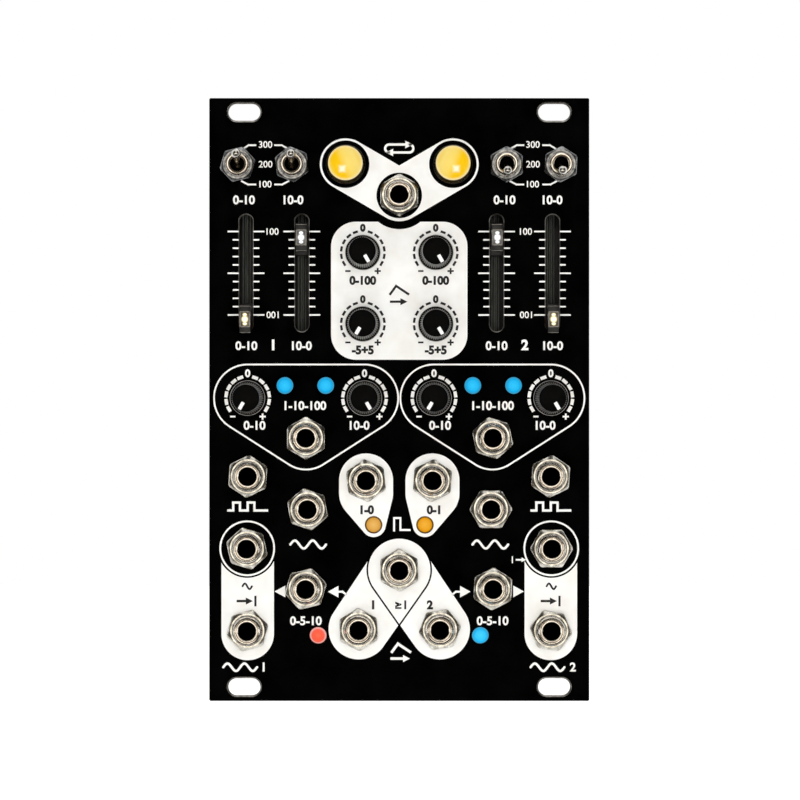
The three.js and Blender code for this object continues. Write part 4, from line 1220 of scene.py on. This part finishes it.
# Boards: laminate core between two skins of solder mask, drawn tracks, and a solder cone on every pin
boards = {
    "control": (10.2, 11.8),
    "main": (19.8, 21.4),
    "mainCorners": ((-35.5, -112.5), (35.5, -10.0)),
    "skin": 0.04,
    "inset": 0.16,
    "corner": 1.2,
    "track": (0.42, -0.01, 0.02),
    "solder": [(0, -0.05), (0.8, -0.05), (0.8, 0.03), (0.45, 0.3), (0.26, 0.75), (0.12, 0.9), (0, 0.93)],
    "part": (1.2, 1.25, 0.5, 0.82),
    "partRows": (-98.0, -84.5, -30.5, -17.5),
    "partColumns": {-12.5: 5, -9.0: 4, -5.5: 4},
}
pot = {
    "body": (9.5, 9.5, 3.4, 10.2),
    "split": 6.2,
    "bore": 2.8,
    "cover": (9.6, 8.1, 3.36, 3.9),
    "collar": [(2.8, 1.6), (3.85, 1.6), (4.0, 1.75), (4.0, 3.4), (2.8, 3.4)],
    "pins": [(-2.5, -4.2), (0, -4.2), (2.5, -4.2)],
}
boardSet = [bareLaminate, solderMask, tinPad, maskTrack, resistorBlack, ceramicTan]


def boardShapes(low, high, front, back):
    # Rounded rectangles about the corners' middle, the two covers smaller than the core by the inset
    (x, z), (wide, tall) = (low + high) / 2, high - low
    skin, inset, corner = boards["skin"], boards["inset"], boards["corner"]
    core = roundedBox(x, z, wide, tall, corner, 6)
    cover = roundedBox(x, z, wide - inset, tall - inset, corner, 6)
    return [
        slab([core], union, front + skin, back - skin),
        slab([cover], union, front, front + skin, 1),
        slab([cover], union, back - skin, back, 1),
    ]


def solder(x, z, face, size):
    # The cone's rows, radius and rise both times the size, from the board's face
    rows = [(radius * size, face + rise * size) for radius, rise in boards["solder"]]
    return turned(rows, x, z, 12, number=2)


def brick(x, z, wide, tall, front, back, number):
    # A block with edges eased by 0.06 and corners of 0.09
    return block(x, z, wide, tall, front, back, 0.09, 0.06, number, 2)


def smallPart(x, z, wide, tall, high, end, number):
    # A brick, and over each of its ends a tinned cap wider by 0.05 and higher by 0.03
    caps = [brick(x, z + side * end, wide + 0.05, 0.42, back, back + high + 0.03, 2) for side in both]
    return [brick(x, z, wide, tall, back, back + high, number), *caps]


def pinSpots(x, z, rows):
    # Two lanes of pins, 2.54 apart both ways, about the middle
    return [(x + lane * 1.27, z + (row - (rows - 1) / 2) * 2.54) for row in range(rows) for lane in both]


def crossed(x, z, radius, segments, half, wide, front, back):
    # A disc less two strokes that cross at its middle
    cross = stroke([(x - half, z), (x + half, z)], wide) + stroke([(x, z - half), (x, z + half)], wide)
    return slab(*without(circle(x, z, radius, segments), *cross), front, back, 1)


front, back = boards["control"]
control = boardShapes(*[corner[[0, 2]] for corner in reach("control_board")], front, back)
soldered = [
    (jackSpots, jack["pins"], 1.0), (sliderSpots, slide["pins"], 0.9), (toggleSpots, toggle["pins"], 1.1),
    (buttonSpots, push["pins"], 0.9), (lampSpots, lamp["pins"], 0.8), (knobSpots, pot["pins"], 0.9),
]
for spots, pins, size in soldered:
    for x, z in spots.values():
        control += [solder(x + across, z + lift, back, size) for across, lift in pins]
addPiece("controlBoard", control, boardSet, "root", ["control_board"])

for name, (x, z) in knobSpots.items():
    wide, tall, front, back = pot["body"]
    coverWide, coverTall, coverFront, coverBack = pot["cover"]
    bore, split = circle(x, z, pot["bore"], 40), pot["split"]
    case = [slab(*without(roundedBox(x, z, wide, tall, 0.8, 6), bore), front, split)]
    case.append(block(x, z, wide, tall, split, back, 0.8, 0.15))
    cover = roundedBox(x, z, coverWide, coverTall, 0.3, 4)
    case.append(slab(*without(cover, bore), coverFront, coverBack, 1))
    case.append(turned(pot["collar"], x, z, 48, True, number=1))
    pieceName = camel(name.replace("knob", "pot"), "Case")
    addPiece(pieceName, case, [potBlue, zincSteel], "root", ["control_board"])

# Main board: tracks that leave the chips' pins, and the small parts beside the chips and left of them
chip = {
    "columns": [8.91, 18.225, 27.54],
    "rows": [-86.95, -71.53, -56.11, -40.69, -25.27],
    "body": (3.9, 8.65, 0.12, 1.7),
    "slimmer": 0.3,
    "dot": [(0, -0.02), (0.32, -0.02), (0.3, 0.015), (0, 0.015)],
    "dotSpot": (-1.2, 3.6),
    "pins": [-3.81, -2.54, -1.27, 0, 1.27, 2.54, 3.81],
    "leg": [(1.85, 0.95), (2.3, 0.92), (2.45, 0.75), (2.52, 0.25), (2.65, 0.08), (2.98, 0.06)],
    "legRadius": 0.13,
    "part": (1.25, 1.2, 0.55, 0.8),
    "partPlaces": (-4.6, 4.6),
    "partUneven": 0.4,
}
front, back = boards["main"]
mainShapes = boardShapes(*np.array(boards["mainCorners"]), front, back)
paths = []
for row, z in enumerate(chip["rows"]):
    for lane in range(4):
        low = z - 3.2 + lane * 2.1
        high = low + 3.4
        paths.append([(4.6, low), (1.8 - lane, low), (-1.6 - lane, high), (-14 + 2 * row, high)])
    paths.append([(11.5, z + 5.4), (15.6, z + 5.4), (16.6, z + 4.4)])
    paths.append([(20.6, z + 5.4), (25.2, z + 5.4), (26.0, z + 4.6)])
    paths.append([(30.6, z - 3), (33.2, z - 0.4), (33.2, z + 3)])
wide, sunk, raisedBy = boards["track"]
mainShapes += [slab(stroke(path, wide), union, back + sunk, back + raisedBy, 3) for path in paths]
dice = np.random.default_rng(7)
for row, z in enumerate(chip["rows"]):
    for column, x in enumerate(chip["columns"]):
        for place in chip["partPlaces"]:
            uneven = chip["partUneven"] * (dice.random() - 0.5)
            mainShapes += smallPart(x + place, z + uneven, *chip["part"], 4 + (row + column) % 2)
for x, number in boards["partColumns"].items():
    for z in boards["partRows"]:
        mainShapes += smallPart(x, z, *boards["part"], number)
addPiece("mainBoard", mainShapes, boardSet, "root", ["main_board"])

# Chips: a body slimmer at both faces than at its middle, a dot by the first pin, and bent legs
wide, tall, start, end = chip["body"]
slim = chip["slimmer"]
dotRows = [(radius, back + end + rise) for radius, rise in chip["dot"]]
for row, z in enumerate(chip["rows"]):
    for column, x in enumerate(chip["columns"]):
        middle = roundedBox(x, z, wide, tall, 0.1, 3)
        outer = roundedBox(x, z, wide - slim, tall - slim, 0.1, 3)
        rises = [(outer, start), (middle, (start + end) / 2), (outer, end)]
        rings = [level(loop, back + rise) for loop, rise in rises]
        dotX, dotZ = chip["dotSpot"]
        parts = [lofted(rings), turned(dotRows, x + dotX, z + dotZ, 20, number=2)]
        for pin in chip["pins"]:
            for side in both:
                path = [(x + side * across, back + rise, z + pin) for across, rise in chip["leg"]]
                parts.append(swept(path, chip["legRadius"], 6, 1))
        materials = [chipEpoxy, legSteel, maskTrack]
        addPiece(f"chip{row}{column}", parts, materials, "root", ["main_board"])

# Capacitors: a printed sleeve with a groove near its foot, and an aluminium lid scored with a cross
can = {
    "places": [(-24.3, -94.66), (-24.3, -22.7)],
    "sleeve": [
        (0, 21.4), (3.15, 21.4), (3.15, 22.3), (2.95, 22.5), (2.95, 22.75), (3.15, 23.0), (3.15, 26.8),
        (3.0, 27.05), (2.8, 27.1), (0, 27.1),
    ],
    "lid": (2.75, 56, 1.6, 0.22, 27.08, 27.2),
}
for number, (x, z) in enumerate(can["places"]):
    parts = [turned(can["sleeve"], x, z, 56), crossed(x, z, *can["lid"])]
    addPiece(f"capacitor{number}", parts, [sleeveBlue, canAluminium], "root", ["main_board"])

# Stacking headers: two plastic strips that leave a narrow gap, with the pins seen in it
stack = {
    "places": {"stackHeaderLeft": (-25.92, -61.25), "stackHeaderRight": (25.92, -61.25)},
    "strips": [(5.0, 25.4, 11.8, 17.2, 0.2, 0.15), (5.0, 25.4, 17.45, 19.8, 0.2, 0.15)],
    "rows": 10,
    "pin": (0.64, 0.64, 16.9, 17.7, 1),
}
for name, (x, z) in stack["places"].items():
    parts = [block(x, z, *strip) for strip in stack["strips"]]
    parts += [brick(*place, *stack["pin"]) for place in pinSpots(x, z, stack["rows"])]
    addPiece(name, parts, [headerPlastic, goldPin], "root", ["main_board"])

# Power header: a shroud with a key slot in one long wall, round two lanes of pins with tapered tips
power = {
    "place": (-24.3, -58.68),
    "case": (9.0, 27.9),
    "wall": 1.1,
    "key": (4.0, 1.8, 4.5),
    "depths": (21.4, 23.4, 24.6, 30.3),
    "rows": 8,
    "pinSizes": (0.64, 0.64, 0.34),
    "pinDepths": (23.2, 28.55, 29.0),
}
x, z = power["place"]
wide, tall = power["case"]
wall = 2 * power["wall"]
shift, keyWide, keyTall = power["key"]
foot, floor, ledge, rim = power["depths"]
outer = roundedBox(x, z, wide, tall, 0.4, 5)
inner = roundedBox(x, z, wide - wall, tall - wall, 0.25, 5)
key = roundedBox(x + shift, z, keyWide, keyTall, 0.1, 3)
shroud = [block(x, z, wide, tall, foot, floor, 0.4, 0.12)]
shroud.append(slab(*without(outer, inner), floor, ledge))
shroud.append(slab(*without(outer, inner, key), ledge, rim))
for pinX, pinZ in pinSpots(x, z, power["rows"]):
    loops = [roundedBox(pinX, pinZ, size, size, 0.04, 2) for size in power["pinSizes"]]
    shroud.append(lofted([level(loop, depth) for loop, depth in zip(loops, power["pinDepths"])], 1))
addPiece("powerHeader", shroud, [headerPlastic, goldPin], "root", ["power_header"])

# Standoffs: a hexagon post with its nut and stud in front of the board, and a cross-slotted screw behind
spacer = {
    "post": [(0, 11.8), (2.3, 11.8), (2.5, 12.0), (2.5, 19.6), (2.3, 19.8), (0, 19.8)],
    "nut": [(0, 8.6), (2.3, 8.6), (2.5, 8.75), (2.5, 10.2), (0, 10.2)],
    "stud": [(0, 8.1), (1.05, 8.1), (1.25, 8.3), (1.25, 12), (0, 12)],
    "head": [(0, 21.4), (2.4, 21.4), (2.4, 21.9), (2.28, 22.25), (2.05, 22.4), (0, 22.4)],
    "crown": (1.9, 48, 1.1, 0.45, 22.38, 22.9),
}


def sixSided(radius, depth, angle):
    # Radius = r times a hexagon's distance to its side along the angle
    return radius * hexRadius(angle, 0, 1.0), depth


for node in ("standoff_upper", "standoff_lower"):
    x, z = spot(node)
    parts = [turned(spacer[key], x, z, 48, form=sixSided) for key in ("post", "nut")]
    parts.append(turned(spacer["stud"], x, z, 32, number=1))
    parts += [turned(spacer["head"], x, z, 48, number=1), crossed(x, z, *spacer["crown"])]
    addPiece(camel(node), parts, [brassHex, zincSteel], "root", [node])
print("boards and their parts made")

# Studio: a small front light, two low softboxes that give the glints, a soft top and rear light, cards that
# only reflections see, and a pale floor. Each light has its place, width and height in metres, and its watts.
studio = {
    "lights": {
        "softbox0": (-0.46, -0.62, -0.24, 0.26, 0.3, 0.36),
        "softbox1": (0.46, -0.62, -0.24, 0.26, 0.3, 0.36),
        "topLight": (0.0, -0.45, 0.75, 0.7, 0.5, 1.1),
        "frontLight": (0.0, -0.85, -0.06, 0.45, 0.45, 4.3),
        "rearLight": (0.25, 0.9, 0.45, 0.6, 0.6, 4.0),
    },
    "aim": (0.0, 0.0, -0.06),
    "fill": 0.27,
    "cameraPlace": (0.00016, -0.8, -0.06135),
    "lens": 168.5,
    "sensor": 36,
    "floorReach": 4,
    "floorDepth": -0.3,
}
for name, (x, y, z, wide, tall, watts) in studio["lights"].items():
    light = bpy.data.objects.new(name, bpy.data.lights.new(name, "AREA"))
    light.data.shape = "RECTANGLE"
    light.data.size = wide
    light.data.size_y = tall
    light.data.energy = watts
    light.location = (x, y, z)
    toward = Vector(studio["aim"]) - light.location
    light.rotation_euler = toward.to_track_quat("-Z", "Y").to_euler()
    light.visible_glossy = name != "frontLight"
    bpy.context.scene.collection.objects.link(light)

# Sky: white where the camera, a reflection or a view through something sees it, and a dim fill for the rest
world = bpy.data.worlds.new("studioWorld")
world.use_nodes = True
bpy.context.scene.world = world
tree = world.node_tree
tree.nodes.clear()
seen = addNode(tree, "ShaderNodeLightPath")
others = [("ADD", seen.outputs["Is Glossy Ray"]), ("ADD", seen.outputs["Is Transmission Ray"])]
direct = measured(tree, seen.outputs["Is Camera Ray"], *others, ("MINIMUM", 1.0))
strength = addNode(tree, "ShaderNodeMapRange", {"To Min": studio["fill"], "To Max": 1.0}, {"Value": direct})
sky = addNode(tree, "ShaderNodeBackground", {"Color": (1, 1, 1, 1)}, {"Strength": strength.outputs[0]})
output = addNode(tree, "ShaderNodeOutputWorld")
tree.links.new(sky.outputs[0], output.inputs["Surface"])


def stagePlane(name, corners, material):
    # One flat face through its corners, for the studio alone
    mesh = bpy.data.meshes.new(name)
    mesh.from_pydata(corners, [], [list(range(len(corners)))])
    mesh.materials.append(material)
    plane = bpy.data.objects.new(name, mesh)
    bpy.context.scene.collection.objects.link(plane)
    return plane


# Studio cards: cloth, a little uneven, that glows for reflections only; the one behind the camera glows most
cards = {
    "frontCard": (1.55, [(-0.34, -0.9, -0.27), (0.34, -0.9, -0.27), (0.34, -0.9, 0.25), (-0.34, -0.9, 0.25)]),
    "backCard": (0.015, [(-1.3, -1.0, -0.29), (1.3, -1.0, -0.29), (1.3, -1.0, 1.1), (-1.3, -1.0, 1.1)]),
    "leftCard": (0.015, [(-1.3, -1.0, -0.29), (-1.3, -0.34, -0.29), (-1.3, -0.34, 1.1), (-1.3, -1.0, 1.1)]),
    "rightCard": (0.015, [(1.3, -1.0, -0.29), (1.3, -0.34, -0.29), (1.3, -0.34, 1.1), (1.3, -1.0, 1.1)]),
    "upperCard": (0.02, [(-1.3, -1.0, 1.1), (1.3, -1.0, 1.1), (1.3, -0.34, 1.1), (-1.3, -0.34, 1.1)]),
    "lowerCard": (0.05, [(-1.3, -1.0, -0.28), (1.3, -1.0, -0.28), (1.3, -0.1, -0.28), (-1.3, -0.1, -0.28)]),
}
for name, (glow, corners) in cards.items():
    cloth = surface(name + "Cloth", "#2a2928", "#35332f", (0.9, 1.0), grain=60)
    tree, shader = shaderOf(cloth)
    shader.inputs["Emission Color"].default_value = hexToLinear("#fff8ec")
    shader.inputs["Emission Strength"].default_value = glow
    card = stagePlane(name, corners, cloth)
    card.visible_camera = False
    card.visible_diffuse = False
    card.visible_shadow = False
    card.visible_transmission = False

# Floor: near-white paper that also glows a little so that it reads white beside the sky and keeps the shadow
floorPaper = surface("floorPaper", "#f3f3f2", "#ffffff", (0.8, 0.9), grain=40, **{"Specular IOR Level": 0.1})
tree, shader = shaderOf(floorPaper)
seen = addNode(tree, "ShaderNodeLightPath")
where = addNode(tree, "ShaderNodeTexCoord").outputs["Object"]
away = addNode(tree, "ShaderNodeVectorMath", {"operation": "LENGTH"}, {0: where}).outputs["Value"]
settings = {"From Min": 0.45, "From Max": 0.9, "To Min": 0.35, "To Max": 1.0}
spread = addNode(tree, "ShaderNodeMapRange", settings, {"Value": away}).outputs[0]
steps = [("ADD", seen.outputs["Is Glossy Ray"]), ("MULTIPLY", spread)]
glow = measured(tree, seen.outputs["Is Camera Ray"], *steps)
tree.links.new(glow, shader.inputs["Emission Strength"])
shader.inputs["Emission Color"].default_value = (1, 1, 1, 1)
far, down = studio["floorReach"], studio["floorDepth"]
stagePlane("floor", [(-far, -far, down), (far, -far, down), (far, far, down), (-far, far, down)], floorPaper)

camera = bpy.data.objects.new("camera", bpy.data.cameras.new("camera"))
bpy.context.scene.collection.objects.link(camera)
camera.location = studio["cameraPlace"]
camera.rotation_euler = (math.pi / 2, 0, 0)
camera.data.lens = studio["lens"]
camera.data.sensor_width = studio["sensor"]
camera.data.clip_start = 0.01
camera.data.clip_end = 20
bpy.context.scene.camera = camera
bpy.context.scene.view_settings.view_transform = "Standard"
print("studio made")
